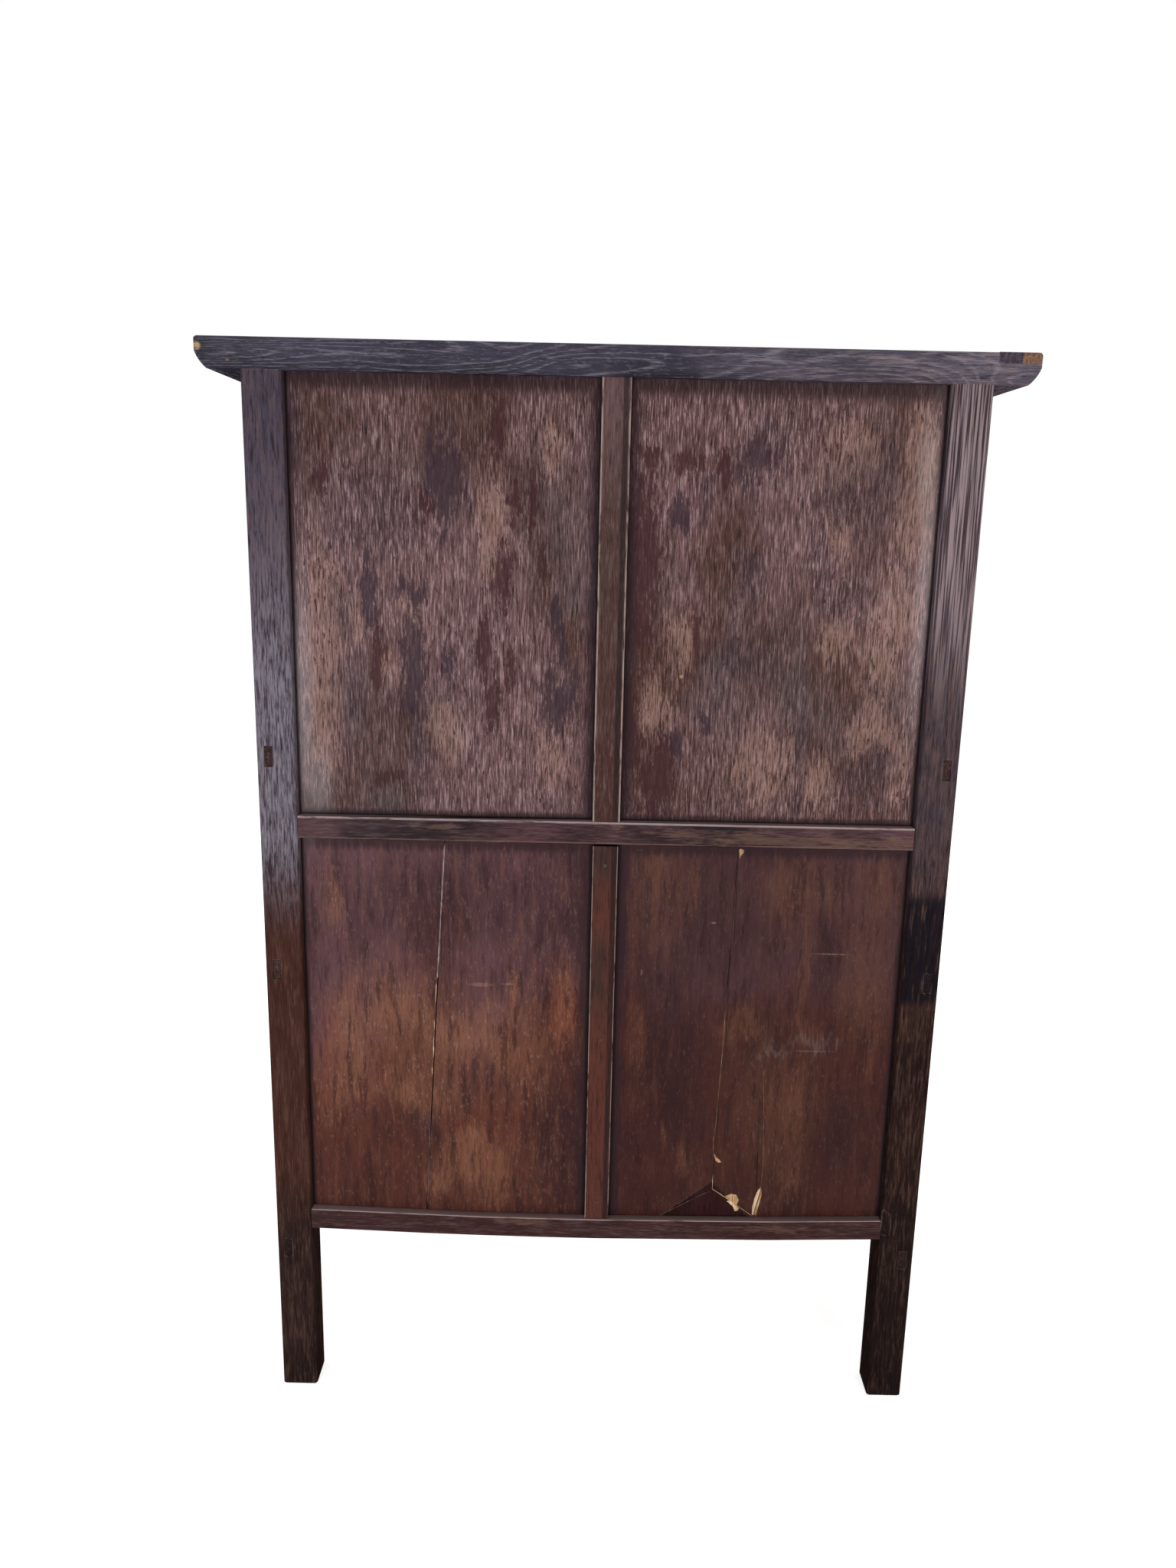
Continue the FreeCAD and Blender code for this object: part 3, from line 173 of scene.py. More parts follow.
class Paint:
    """One material's node tree, with the colour laid so far. Inputs are sockets or plain values."""

    def __init__(self, name, axis="z"):
        self.material = bpy.data.materials.new(name)
        self.material.use_nodes = True
        self.tree = self.material.node_tree
        self.shader = self.tree.nodes["Principled BSDF"]
        self.place = self.add("ShaderNodeTexCoord").outputs["Object"]
        self.axis = axis
        seed = (sum(map(ord, name)) % 97) * 0.37
        self.shift = (seed, seed * 0.7, seed * 1.3)
        self.fields = {}
        self.bent_place = None
        self.colour = None

    def add(self, kind, inputs=(), **settings):
        node = self.tree.nodes.new(kind)
        for name, setting in settings.items():
            setattr(node, name, setting)
        for key, content in dict(inputs).items():
            self.feed(node.inputs[key], content)
        return node

    def feed(self, socket, content):
        if isinstance(content, bpy.types.NodeSocket):
            self.tree.links.new(content, socket)
        else:
            socket.default_value = content

    def math(self, operation, first, second=0.0):
        return self.add("ShaderNodeMath", {0: first, 1: second}, operation=operation).outputs[0]

    def vector(self, operation, *inputs):
        return self.add("ShaderNodeVectorMath", dict(enumerate(inputs)), operation=operation)

    def add_up(self, *terms):
        """Weighted sum of (weight, socket) terms."""
        total = None
        for weight, socket in terms:
            part = self.math("MULTIPLY", socket, weight)
            total = part if total is None else self.math("ADD", total, part)
        return total

    def product(self, *sockets):
        total = sockets[0]
        for socket in sockets[1:]:
            total = self.math("MULTIPLY", total, socket)
        return total

    def either(self, *sockets):
        total = sockets[0]
        for socket in sockets[1:]:
            total = self.math("MAXIMUM", total, socket)
        return total

    def step(self, socket, low, high):
        """Smooth rise from 0 at low to 1 at high; low may be the larger."""
        ends = {"Value": socket, "From Min": low, "From Max": high}
        if low > high:
            ends = {"Value": socket, "From Min": high, "From Max": low, "To Min": 1.0, "To Max": 0.0}
        return self.add("ShaderNodeMapRange", ends, interpolation_type="SMOOTHSTEP").outputs[0]

    def fit(self, socket, low, high):
        """Bring a 0 to 1 value to the range from low to high."""
        return self.add("ShaderNodeMapRange", {"Value": socket, "To Min": low, "To Max": high}).outputs[0]

    def mix(self, factor, first, second):
        colours = {0: factor, 6: first, 7: second}
        return self.add("ShaderNodeMix", colours, data_type="RGBA").outputs[2]

    def base(self, first, second, mask):
        """Start with two named colours, mixed by a mask."""
        self.colour = self.mix(mask, linear(first), linear(second))

    def lay(self, name, strength, *masks):
        """Lay a named colour over the rest, through the product of some masks."""
        factor = self.math("MULTIPLY", self.product(*masks), strength)
        self.colour = self.mix(factor, self.colour, linear(name))

    def noise(self, place, scale, detail, roughness, distortion=0.0):
        inputs = {"Vector": place, "Scale": scale, "Detail": detail, "Roughness": roughness}
        inputs["Distortion"] = distortion
        return self.add("ShaderNodeTexNoise", inputs)

    def scaled(self, scale, shift=(0, 0, 0)):
        inputs = {"Vector": self.place, "Scale": scale, "Location": shift}
        return self.add("ShaderNodeMapping", inputs).outputs[0]

    def field(self, kind):
        """One of the noise fields of the wood, drawn out along its grain."""
        if kind not in self.fields:
            stretch, scale, detail, roughness = FIELDS[kind]
            place = self.scaled(grain_scale(self.axis, stretch), self.shift)
            self.fields[kind] = self.noise(place, scale, detail, roughness)
        return self.fields[kind].outputs[0]

    def where(self, kind, low, high):
        """Rise from 0 to 1 between two levels of a noise field."""
        return self.step(self.field(kind), low, high)

    def along(self, letter):
        return self.add("ShaderNodeSeparateXYZ", {0: self.place}).outputs["XYZ".index(letter.upper())]

    def rise(self, letter, start, full):
        """Rise from 0 to 1 between two places, in millimetres."""
        return self.step(self.along(letter), start * MM, full * MM)

    def band(self, letter, start, full, last, end):
        """1 from full to last, falling to 0 at start and end, in millimetres."""
        return self.product(self.rise(letter, start, full), self.rise(letter, end, last))

    def border(self, letter, start, full):
        """Rise from 0 to 1 between two distances from the middle, in millimetres."""
        return self.step(self.math("ABSOLUTE", self.along(letter)), start * MM, full * MM)

    def half(self, sign):
        """1 on one half of the cabinet: the right for a sign of 1, the left for -1."""
        return self.rise("x", -MIDDLE_BLEND * sign, MIDDLE_BLEND * sign)

    def bent(self):
        """Coordinates pushed about, most along the grain, for ragged edges."""
        if self.bent_place is None:
            self.field("ragged")
            ragged = self.fields["ragged"].outputs["Color"]
            push = self.vector("SUBTRACT", ragged, (0.5, 0.5, 0.5)).outputs[0]
            reach = tuple(RAGGED_ALONG if letter == self.axis else RAGGED_ACROSS for letter in "xyz")
            self.bent_place = self.vector("MULTIPLY_ADD", push, reach, self.place).outputs[0]
        return self.bent_place

    def nearest(self, place, spots):
        """Distance to the nearest of some elliptic spots, 1 at their edges."""
        closest = None
        for x, z, half_width, half_height in spots:
            scale = (1 / (half_width * MM), 0.0, 1 / (half_height * MM))
            shift = (-x / half_width, 0.0, -z / half_height)
            inside = self.vector("MULTIPLY_ADD", place, scale, shift).outputs[0]
            reach = self.vector("LENGTH", inside).outputs["Value"]
            closest = reach if closest is None else self.math("MINIMUM", closest, reach)
        return closest

    def patch(self, spots, low, high, tooth=2.0, hair=1.0, broad=1.2):
        """Patches over some spots, whose edges break up into teeth along the grain."""
        inside = self.step(self.nearest(self.bent(), spots), 2.0, 0.0)
        terms = [(tooth, self.field("tooth")), (hair, self.field("hair")), (broad, self.field("broad"))]
        middle = 0.5 * (tooth + hair + broad)
        return self.step(self.add_up((1.0, inside), *terms), middle + low, middle + high)

    def marks(self, spots):
        """Small marks with plain edges, thinned out by the grain."""
        inside = self.step(self.nearest(self.place, spots), 1.2, 0.5)
        return self.product(inside, self.where("hair", 0.34, 0.56))

    def edges(self, radius):
        """1 at an arris of a radius in millimetres, 0 on flat faces."""
        rounded = self.add("ShaderNodeBevel", {"Radius": radius * MM}, samples=4).outputs[0]
        normal = self.add("ShaderNodeNewGeometry").outputs["Normal"]
        likeness = self.vector("DOT_PRODUCT", rounded, normal).outputs["Value"]
        return self.step(likeness, 0.985, 0.80)

    def facing(self, direction, low, high):
        """Rise from 0 to 1 as the surface turns towards a direction."""
        normal = self.add("ShaderNodeNewGeometry").outputs["Normal"]
        return self.step(self.vector("DOT_PRODUCT", normal, direction).outputs["Value"], low, high)

    def finish(self, roughness, height, depth, gloss):
        """Connect the shader, with relief of a depth in millimetres."""
        bump = self.add("ShaderNodeBump", {"Strength": 1.0, "Distance": depth * MM, "Height": height})
        self.feed(self.shader.inputs["Base Color"], self.colour)
        self.feed(self.shader.inputs["Roughness"], roughness)
        self.feed(self.shader.inputs["Normal"], bump.outputs[0])
        self.feed(self.shader.inputs["Specular IOR Level"], gloss)
        return self.material


def show(material, *names):
    """Give CAD nodes a material on all their slots."""
    for name in names:
        mesh = nodes[name].data
        mesh.materials.clear()
        mesh.materials.append(material)


def show_upright(material, name, low, high):
    """Give another material to the faces of a CAD node whose middles lie between two heights."""
    mesh = nodes[name].data
    mesh.materials.append(material)
    for face in mesh.polygons:
        if low * MM < face.center.z < high * MM:
            face.material_index = len(mesh.materials) - 1


def soften(*names):
    """Wear the sharp arrises of CAD nodes round."""
    for name in names:
        node = nodes[name]
        weld = node.modifiers.new("weld", "WELD")
        weld.merge_threshold = WELD_DISTANCE * MM
        flat = node.modifiers.new("flat_faces", "DECIMATE")
        flat.decimate_type = "DISSOLVE"
        flat.angle_limit = FLAT_ANGLE
        bevel = node.modifiers.new("worn_arris", "BEVEL")
        bevel.width = ARRIS_WIDTH * MM
        bevel.segments = 2
        bevel.limit_method = "ANGLE"
        bevel.angle_limit = ARRIS_ANGLE
        bevel.use_clamp_overlap = False
        bevel.harden_normals = True


# Back panels: patches as (x, z, half width, half height) in millimetres
UPPER_TAN = [
    (424, 1281, 34, 140), (381, 1302, 18, 30), (300, 1315, 16, 26), (334, 1247, 10, 34),
    (177, 1461, 20, 64), (181, 1401, 14, 40), (87, 1564, 16, 40), (245, 1140, 30, 40), (87, 1118, 26, 44),
    (432, 1152, 26, 90), (-442, 1570, 26, 64), (-441, 1483, 36, 64), (-322, 1535, 26, 22),
    (-327, 1449, 26, 26), (-338, 1294, 27, 38), (-425, 1330, 40, 64), (-105, 1291, 24, 50),
    (-72, 1185, 26, 44), (-232, 1100, 46, 52), (-443, 1104, 14, 52), (-400, 1160, 34, 40),
    (-345, 1562, 34, 34), (-321, 1079, 26, 36), (-405, 1262, 36, 44),
]
UPPER_SHADE = [
    (-358, 1505, 60, 46), (-334, 1354, 36, 32), (-300, 1401, 14, 52), (-201, 1401, 25, 42),
    (-217, 1268, 46, 32), (-425, 1104, 23, 26), (-391, 1078, 40, 20), (398, 1319, 15, 42),
    (398, 1234, 17, 32), (383, 1191, 15, 52), (462, 1540, 12, 110), (287, 1114, 15, 42),
    (-222, 1591, 27, 32), (-135, 1505, 10, 26), (343, 1461, 60, 60), (-294, 1104, 6, 72),
]
UPPER_PLUM = [
    (245, 1515, 23, 58), (74, 1191, 32, 42), (57, 1234, 12, 32), (356, 1355, 12, 52), (300, 1352, 20, 20),
    (296, 1240, 17, 72), (245, 1242, 9, 20), (83, 1315, 9, 32), (70, 1268, 9, 32), (-197, 1539, 36, 26),
    (-98, 1466, 15, 22), (-147, 1173, 9, 19), (-102, 1121, 16, 21),
]
UPPER_BURGUNDY = [
    (166, 1589, 11, 36), (119, 1490, 7, 50), (143, 1478, 6, 30), (104, 1392, 6, 30), (160, 1371, 12, 46),
    (189, 1268, 9, 66), (149, 1240, 8, 46), (178, 1182, 13, 30), (346, 1255, 11, 42), (430, 1521, 14, 22),
    (334, 1067, 26, 18), (275, 1487, 11, 16), (-106, 1548, 21, 19), (-48, 1548, 12, 24),
    (-45, 1390, 24, 132), (-70, 1082, 26, 42), (-32, 1160, 12, 64), (-128, 1290, 7, 44),
    (-159, 1526, 9, 22),
]
LOWER_TAN = [
    (414, 665, 36, 60), (330, 690, 44, 40), (228, 640, 50, 34), (162, 620, 26, 36), (143, 728, 10, 34),
    (58, 700, 16, 80), (420, 870, 14, 50), (400, 568, 34, 60), (330, 560, 30, 40), (207, 424, 54, 40),
    (263, 387, 26, 18), (159, 393, 10, 32), (-75, 917, 22, 36), (-295, 918, 34, 44), (-432, 908, 30, 60),
    (-322, 772, 10, 60), (-433, 650, 13, 60), (-330, 660, 26, 34), (-232, 677, 34, 24), (-320, 515, 12, 90),
    (-313, 403, 22, 30), (-138, 428, 8, 30), (95, 355, 7, 9), (-60, 640, 9, 50), (-105, 480, 8, 40),
    (-136, 908, 10, 40), (199, 460, 40, 24), (157, 386, 8, 30),
]
LOWER_EMBER = [
    (-36, 669, 24, 70), (-438, 647, 12, 50), (62, 690, 22, 70), (83, 377, 7, 8), (440, 640, 20, 90),
]
LOWER_GLOW = [
    (330, 650, 150, 90), (180, 640, 120, 70), (300, 560, 160, 60), (190, 420, 90, 60), (-340, 900, 110, 70),
    (-420, 780, 50, 120), (-80, 880, 50, 80), (-300, 520, 60, 150),
]
LOWER_DARK = [
    (190, 880, 150, 70), (60, 860, 40, 80), (240, 560, 50, 30), (290, 480, 30, 40), (60, 470, 40, 120),
    (-150, 870, 50, 80), (-130, 560, 50, 120), (-260, 640, 30, 70), (-400, 480, 50, 70), (-360, 800, 26, 60),
]
TAN_SCUFFS = [
    (193, 735, 20, 4), (150, 737, 12, 2), (-362, 799, 31, 1.2), (-54, 964, 6, 1.6), (-173, 847, 5, 2),
    (-107, 1235, 3, 3), (-62, 762, 1.5, 6),
]
RUBBED = [(460, 1180, 14, 170), (444, 1060, 22, 50), (-459, 1390, 11, 200), (-452, 1540, 14, 70)]
GREY_FILM = [(-335, 645, 46, 14), (-278, 624, 20, 10)]
GREY_SCUFFS = [(-345, 632, 38, 1.5), (-381, 645, 2, 13)]
SPLIT_SHADE = [(-207, 870, 1.2, 110), (-202, 700, 1.0, 110), (-196, 520, 0.9, 120), (256, 850, 0.9, 110)]

# Back panels: places where a tone, a band of dirt and painted shade at a border, and the painted shade in a
# crevice start and where they are full, in millimetres
STILE_DIRT_AND_SHADE = (STILE_SIDE + 31, STILE_SIDE + 3)
STILE_CREVICE_SHADE = (STILE_SIDE + 5, STILE_SIDE)
POST_DIRT_AND_SHADE = (POST_SIDE - 17, POST_SIDE - 1)
POST_CREVICE_SHADE = (POST_SIDE - 6, POST_SIDE)
CAP_DIRT_AND_SHADE = (CAP_FOOT - 40, CAP_FOOT - 6)
MID_RAIL_TOP_DIRT_AND_SHADE = (MID_RAIL_TOP + 17, MID_RAIL_TOP + 2)
MID_RAIL_TOP_CREVICE_SHADE = (MID_RAIL_TOP + 5, MID_RAIL_TOP)
MID_RAIL_FOOT_DIRT_AND_SHADE = (MID_RAIL_FOOT - 36, MID_RAIL_FOOT - 4)
MID_RAIL_FOOT_CREVICE_SHADE = (MID_RAIL_FOOT - 6, MID_RAIL_FOOT)
UPPER_BROWN_HEAD = (1480, 1620)
UPPER_BROWN_FOOT = (1200, 1080)
LOWER_PLUM_HEAD = (450, 950)
LOWER_DARK_FOOT = (500, 360)


def open_grain(paint):
    """Dark pores and pale hair lines at two sizes, more of the pale ones where the wood is worn."""
    worn = paint.fit(paint.where("tone", 0.40, 0.58), 0.45, 1.0)
    for kind, strength in (("streak", 0.54), ("hair", 0.9)):
        paint.lay("pore", strength, paint.where(kind, 0.49, 0.32))
        paint.lay("pale_hair", strength, paint.where(kind, 0.52, 0.68), worn)


def finish_panel(paint, furrow, dirt_and_shade, crevice_shade):
    """Dirt and painted shade at the borders, painted shade in the crevices, worn lips along splits, a sheen
    where it is rubbed, and relief.
    """
    streak = paint.field("streak")
    ends = [paint.border("z", *places) for places in dirt_and_shade]
    dirty_shaded_borders = paint.either(paint.border("x", *STILE_DIRT_AND_SHADE), paint.border("x", *POST_DIRT_AND_SHADE), *ends)
    # Dirt and painted shade in a ragged band along the borders
    paint.lay("aubergine", 0.75, paint.step(paint.add_up((1.0, dirty_shaded_borders), (1.6, streak)), 1.05, 1.75))
    # Painted shade: black lines in the crevices beside the stile, the posts and the rail
    shade_by_stile = paint.border("x", *STILE_CREVICE_SHADE)
    shade_by_post = paint.border("x", *POST_CREVICE_SHADE)
    paint.lay("soot_and_shade", 0.85, paint.either(shade_by_stile, shade_by_post, paint.border("z", *crevice_shade)))
    paint.lay("olive_tan", 0.7, paint.edges(1.6), paint.where("streak", 0.40, 0.60))
    height = paint.add_up((furrow, paint.field("hair")), (furrow, streak), (0.16, paint.field("speck")))
    rubbed = paint.step(paint.nearest(paint.place, RUBBED), 1.8, 0.3)
    roughness = paint.add_up((0.2, streak), (-0.08, rubbed), (1.0, 0.32))
    return paint.finish(roughness, height, 0.4, paint.fit(rubbed, 0.06, 0.34))


def upper_panel_wood():
    """Boards worn down to a fine open grain, with shreds of plum and burgundy lacquer."""
    paint = Paint("upper_panel_wood")
    paint.base("warm_brown", "olive_grey", paint.where("tint", 0.44, 0.64))
    paint.lay("mauve", 0.75, paint.where("tone", 0.36, 0.58))
    brown_foot = paint.product(paint.half(-1), paint.rise("z", *UPPER_BROWN_FOOT))
    paint.lay("warm_brown", 0.5, paint.either(paint.rise("z", *UPPER_BROWN_HEAD), brown_foot))
    paint.lay("tan", 0.62, paint.patch(UPPER_TAN, 0.26, 0.80, 2.6, 1.4))
    paint.lay("plum", 0.50, paint.patch(UPPER_SHADE, 0.26, 0.60, 2.6, 1.2))
    open_grain(paint)
    paint.lay("plum", 0.82, paint.patch(UPPER_PLUM, 0.46, 0.60, 3.2, 1.6))
    paint.lay("burgundy", 0.84, paint.patch(UPPER_BURGUNDY, 0.46, 0.58, 3.4, 1.8))
    paint.lay("raw", 0.8, paint.marks(TAN_SCUFFS))
    return finish_panel(paint, 0.6, [CAP_DIRT_AND_SHADE, MID_RAIL_TOP_DIRT_AND_SHADE], MID_RAIL_TOP_CREVICE_SHADE)


def lower_panel_wood():
    """Thin lacquer, plum-brown above and red-brown below, rubbed through to tan in soft clouds."""
    paint = Paint("lower_panel_wood")
    rise = paint.rise("z", *LOWER_PLUM_HEAD)
    above = paint.step(paint.add_up((0.5, rise), (1.0, paint.field("tone"))), 0.60, 0.90)
    paint.base("red_brown", "plum_brown", above)
    paint.lay("dark_maroon", 0.40, paint.where("tint", 0.44, 0.62))
    paint.lay("aubergine", 0.50, paint.patch(LOWER_DARK, 0.1, 1.0))
    glow = paint.patch(LOWER_GLOW, 0.0, 1.3, 0.9, 0.7, 2.0)
    rubs = paint.patch(LOWER_TAN, 0.2, 1.1, 1.8, 1.6, 1.6)
    paint.lay("rust_tan", 0.40, glow)
    paint.lay("rust_tan", 0.50, rubs)
    paint.lay("ember", 0.50, paint.patch(LOWER_EMBER, 0.1, 1.2))
    paint.lay("dark_maroon", 0.45, paint.where("hair", 0.47, 0.30))
    mottle = paint.add_up((1.0, paint.field("ragged")), (0.6, paint.field("tooth")))
    paint.lay("dark_maroon", 0.35, paint.step(mottle, 0.84, 0.96))
    paint.lay("dark_maroon", 0.60, paint.where("vein", 0.49, 0.36))
    worn = paint.fit(paint.either(glow, rubs), 0.35, 0.9)
    paint.lay("rust_tan", 0.55, paint.where("vein", 0.53, 0.68), worn)
    paint.lay("dusty_rose", 0.75, paint.where("fleck", 0.54, 0.68), worn)
    paint.lay("mauve", 0.35, rise, paint.where("streak", 0.52, 0.70))
    paint.lay("dark_maroon", 0.54, paint.half(-1))
    paint.lay("dark_maroon", 0.2, paint.half(1), paint.rise("z", *LOWER_DARK_FOOT))
    paint.lay("dusty_rose", 0.6, paint.marks(TAN_SCUFFS))
    paint.lay("smoke", 0.30, paint.patch(GREY_FILM, 0.2, 1.0))
    paint.lay("smoke", 0.45, paint.marks(GREY_SCUFFS))
    paint.lay("soot_and_shade", 0.8, paint.marks(SPLIT_SHADE))
    return finish_panel(paint, 0.28, [MID_RAIL_FOOT_DIRT_AND_SHADE], MID_RAIL_FOOT_CREVICE_SHADE)


show(upper_panel_wood(), *[f"back_upper_panel_{side}" for side in SIDES])
show(lower_panel_wood(), *[f"back_lower_panel_{side}" for side in SIDES])

# Frame: places in millimetres where a tone, a mark, a painted sheen, a painted highlight and a painted shade
# start and are full, and for a band also fade and end
POST_GREY = (780, 1050)
POST_SLATE = (1480, 1640)
POST_BROWN = (1360, 1200)
POST_SOOT = (720, 620)
POST_SHADE = (950, 600)
POST_LEG = (400, 280)
POST_FOOT = (100, 30)
POST_RIDGES = (1120, 1420)
# Painted sheen on the right post
POST_PAINTED_SHEEN = (800, 1000, 1200, 1500)
POST_RED = (280, 420, 800, 1000)
STAIN = (715, 735, 890, 915)
BEHIND = (0, 100)
# Painted highlight along the mid rail's top edge
RAIL_TOP_HIGHLIGHT = (MID_RAIL_TOP - 3.8, MID_RAIL_TOP - 2.2, MID_RAIL_TOP + 0.5, MID_RAIL_TOP + 1.5)
RAIL_FOOT_LINE = (MID_RAIL_FOOT - 1.5, MID_RAIL_FOOT - 0.5, MID_RAIL_FOOT + 1.8, MID_RAIL_FOOT + 3)
RAIL_RED = (450, 350)
# Painted shade in a band beside one side of the stile
STILE_SHADE_BAND = (-18.5, -16.5, -11, -8.5)
STILE_LINES = (STILE_SIDE - 3, STILE_SIDE - 2)
STILE_BROWN = (1400, 1150)
TENON_SOOT = (400, 350)

# Frame: worn patches, given as those of the panels are
RAIL_WORN = [
    (-120, 996, 60, 8), (-230, 990, 70, 9), (-350, 988, 80, 8), (0, 1000, 16, 10), (-430, 990, 30, 8),
    (250, 1000, 40, 4), (120, 322, 60, 6), (-300, 320, 60, 6),
]


def frame_wood(name, axis, dark, mid, pale, share=0.5, furrow=0.6, gloss=0.07, edge="grey_brown",
               tone=None, marks=None):
    """Open-grained wood with sooty furrows and worn arrises. Tone lies under the grain, marks over it."""
    paint = Paint(name, axis)
    hair = paint.field("hair")
    streak = paint.field("streak")
    paint.base(dark, mid, paint.where("tint", 0.40, 0.62))
    if tone:
        tone(paint)
    paint.lay(pale, share * 0.8, paint.where("streak", 0.50, 0.70))
    paint.lay(pale, share, paint.where("hair", 0.53, 0.70))
    paint.lay("soot_and_shade", 0.55, paint.where("streak", 0.47, 0.30))
    paint.lay("soot_and_shade", 0.65, paint.where("hair", 0.48, 0.32))
    height = paint.add_up((furrow, hair), (furrow, streak), (0.2, paint.field("speck")))
    if marks:
        height = marks(paint, height)
    paint.lay(edge, 0.75, paint.edges(2.4), paint.where("streak", 0.38, 0.60))
    return paint.finish(paint.fit(streak, 0.34, 0.54), height, 0.6, gloss)


def post_tone(paint):
    """Grey above and brown below, black at the feet."""
    left = paint.half(-1)
    paint.lay("mauve_grey", 0.74, paint.rise("z", *POST_GREY))
    paint.lay("slate", 0.5, paint.rise("z", *POST_SLATE))
    paint.lay("umber", 0.5, left, paint.rise("z", *POST_BROWN))
    paint.lay("soot_and_shade", 0.42, left, paint.rise("z", *POST_SOOT))
    paint.lay("soot_and_shade", 0.36, paint.rise("z", *POST_LEG))
    paint.lay("soot_and_shade", 0.5, paint.rise("z", *POST_FOOT))


def post_marks(paint, height):
    """Pale ridges and a blue-black stain on one side, a painted sheen along a stretch of the other,
    blackened legs.
    """
    left = paint.half(-1)
    right = paint.half(1)
    ring_place = paint.scaled(grain_scale("z", 60))
    ridges = paint.step(paint.noise(ring_place, 430, 2.0, 0.5).outputs[0], 0.40, 0.58)
    ridged = paint.product(left, paint.rise("z", *POST_RIDGES))
    paint.lay("pale_ridge", 0.72, ridged, ridges)
    paint.lay("umber", 0.6, ridged, paint.step(ridges, 0.4, 0.0))
    # Painted sheen: pale streaks at hand height on the right post
    paint.lay("ash", 0.9, right, paint.band("z", *POST_PAINTED_SHEEN), paint.where("hair", 0.40, 0.62))
    back_face = paint.product(paint.rise("y", *BEHIND), paint.facing(TO_BACK, 0.1, 0.6))
    stain = paint.product(left, back_face, paint.band("z", *STAIN))
    paint.lay("blue_black", 0.8, stain, paint.where("streak", 0.74, 0.54))
    paint.lay("soot_and_shade", 0.22, left, paint.rise("z", *POST_SHADE))
    paint.lay("red_brown", 0.32, right, paint.band("z", *POST_RED))
    paint.lay("black_brown", 0.35, paint.rise("z", *POST_LEG))
    return paint.math("ADD", height, paint.product(ridges, paint.fit(ridged, 0.2, 1.3)))


def worn_highlit_arris(paint, direction):
    """A bright line along the arris between the back face and one side: worn wood with a painted highlight.
    """
    arris = paint.product(paint.facing(direction, *EDGE_TURN), paint.facing(TO_BACK, *EDGE_TURN))
    paint.lay("arris", 0.9, arris, paint.where("streak", 0.34, 0.50))


def rail_marks(paint, height):
    """Tan streaks where the back rails are rubbed, a pale worn edge at the mid rail's foot and a painted
    highlight along its top, and dust with painted highlights on faces and arrises turned up.
    """
    worn = paint.product(paint.facing(TO_BACK, *EDGE_TURN), paint.where("streak", 0.34, 0.50))
    paint.lay("olive_tan", 0.38, paint.patch(RAIL_WORN, 0.2, 1.0))
    # Painted highlight along the top edge of the mid rail
    paint.lay("pale_ridge", 0.8, worn, paint.band("z", *RAIL_TOP_HIGHLIGHT))
    paint.lay("olive_tan", 0.6, worn, paint.band("z", *RAIL_FOOT_LINE))
    # Dust and painted highlight on the faces turned up, and on the arrises along them
    paint.lay("dust_and_highlight", 0.5, paint.facing(UP, 0.2, 0.7))
    worn_highlit_arris(paint, UP)
    return height


def rail_tone(paint):
    """The rails behind are sooty, and the lower ones redder."""
    low = paint.rise("z", *RAIL_RED)
    paint.lay("soot_and_shade", 0.28, paint.rise("y", *BEHIND))
    paint.lay("red_brown", 0.5, low)
    paint.lay("dark_maroon", 0.55, low)


def stile_marks(paint, height):
    """Bright arrises down both sides, worn and with a painted highlight, and a band of painted shade beside
    one.
    """
    # Painted shade in a dark band beside one side
    paint.lay("soot_and_shade", 0.75, paint.band("x", *STILE_SHADE_BAND), paint.where("streak", 0.3, 0.5))
    # Pale lines along the back face's edges: wear with a painted highlight
    back_edges = paint.product(paint.border("x", *STILE_LINES), paint.facing(TO_BACK, *EDGE_TURN))
    paint.lay("arris", 0.7, back_edges, paint.where("streak", 0.4, 0.56))
    worn_highlit_arris(paint, TO_RIGHT)
    worn_highlit_arris(paint, TO_LEFT)
    return height


def stile_tone(paint):
    """The upper stile is browner towards its foot."""
    low = paint.rise("z", *STILE_BROWN)
    paint.lay("red_brown", 0.65, low)
    paint.lay("soot_and_shade", 0.36, low)


def tenon_marks(paint, height):
    """Tenon ends as dark as the posts: stained at one shelf rail, blackened at the bottom rails."""
    ends = paint.facing(TO_BACK, *FACE_TURN)
    paint.lay("blue_black", 0.75, ends, paint.half(-1), paint.band("z", *STAIN))
    paint.lay("soot_and_shade", 0.6, ends, paint.rise("z", *TENON_SOOT))
    return height


post_wood = frame_wood("post_wood", "z", "umber", "walnut", "olive_tan", share=0.45, furrow=0.9, gloss=0.0,
                       tone=post_tone, marks=post_marks)
rail_wood = frame_wood("rail_wood", "x", "aubergine", "plum_brown", "grey_brown", share=0.26,
                       tone=rail_tone, marks=rail_marks)
upright_wood = frame_wood("upright_wood", "z", "aubergine", "plum_brown", "grey_brown", share=0.26)
side_rail_wood = frame_wood("side_rail_wood", "y", "umber", "walnut", "grey_brown", share=0.4, gloss=0.0,
                            marks=tenon_marks)
stile_wood = frame_wood("stile_wood", "z", "walnut", "oak", "grey_brown", share=0.45,
                        tone=stile_tone, marks=stile_marks)
batten_wood = frame_wood("batten_wood", "z", "red_brown", "umber", "olive_tan", share=0.08,
                         marks=stile_marks)
show(post_wood, *[f"post_{end}_{side}" for end in ("back", "front") for side in SIDES])
show(rail_wood, "back_mid_rail", "back_bottom_rail", "front_bottom_rail", "front_drawer_rail",
     "front_display_rail", "front_apron", "display_railing", "display_arch")
show_upright(upright_wood, "display_arch", 0, ARCH_STRIP_TOP)
show_upright(upright_wood, "display_railing", RAILING_FOOT, RAILING_HEAD)
show(side_rail_wood, *[f"side_{level}_rails" for level in ("bottom", "shelf", "display")])
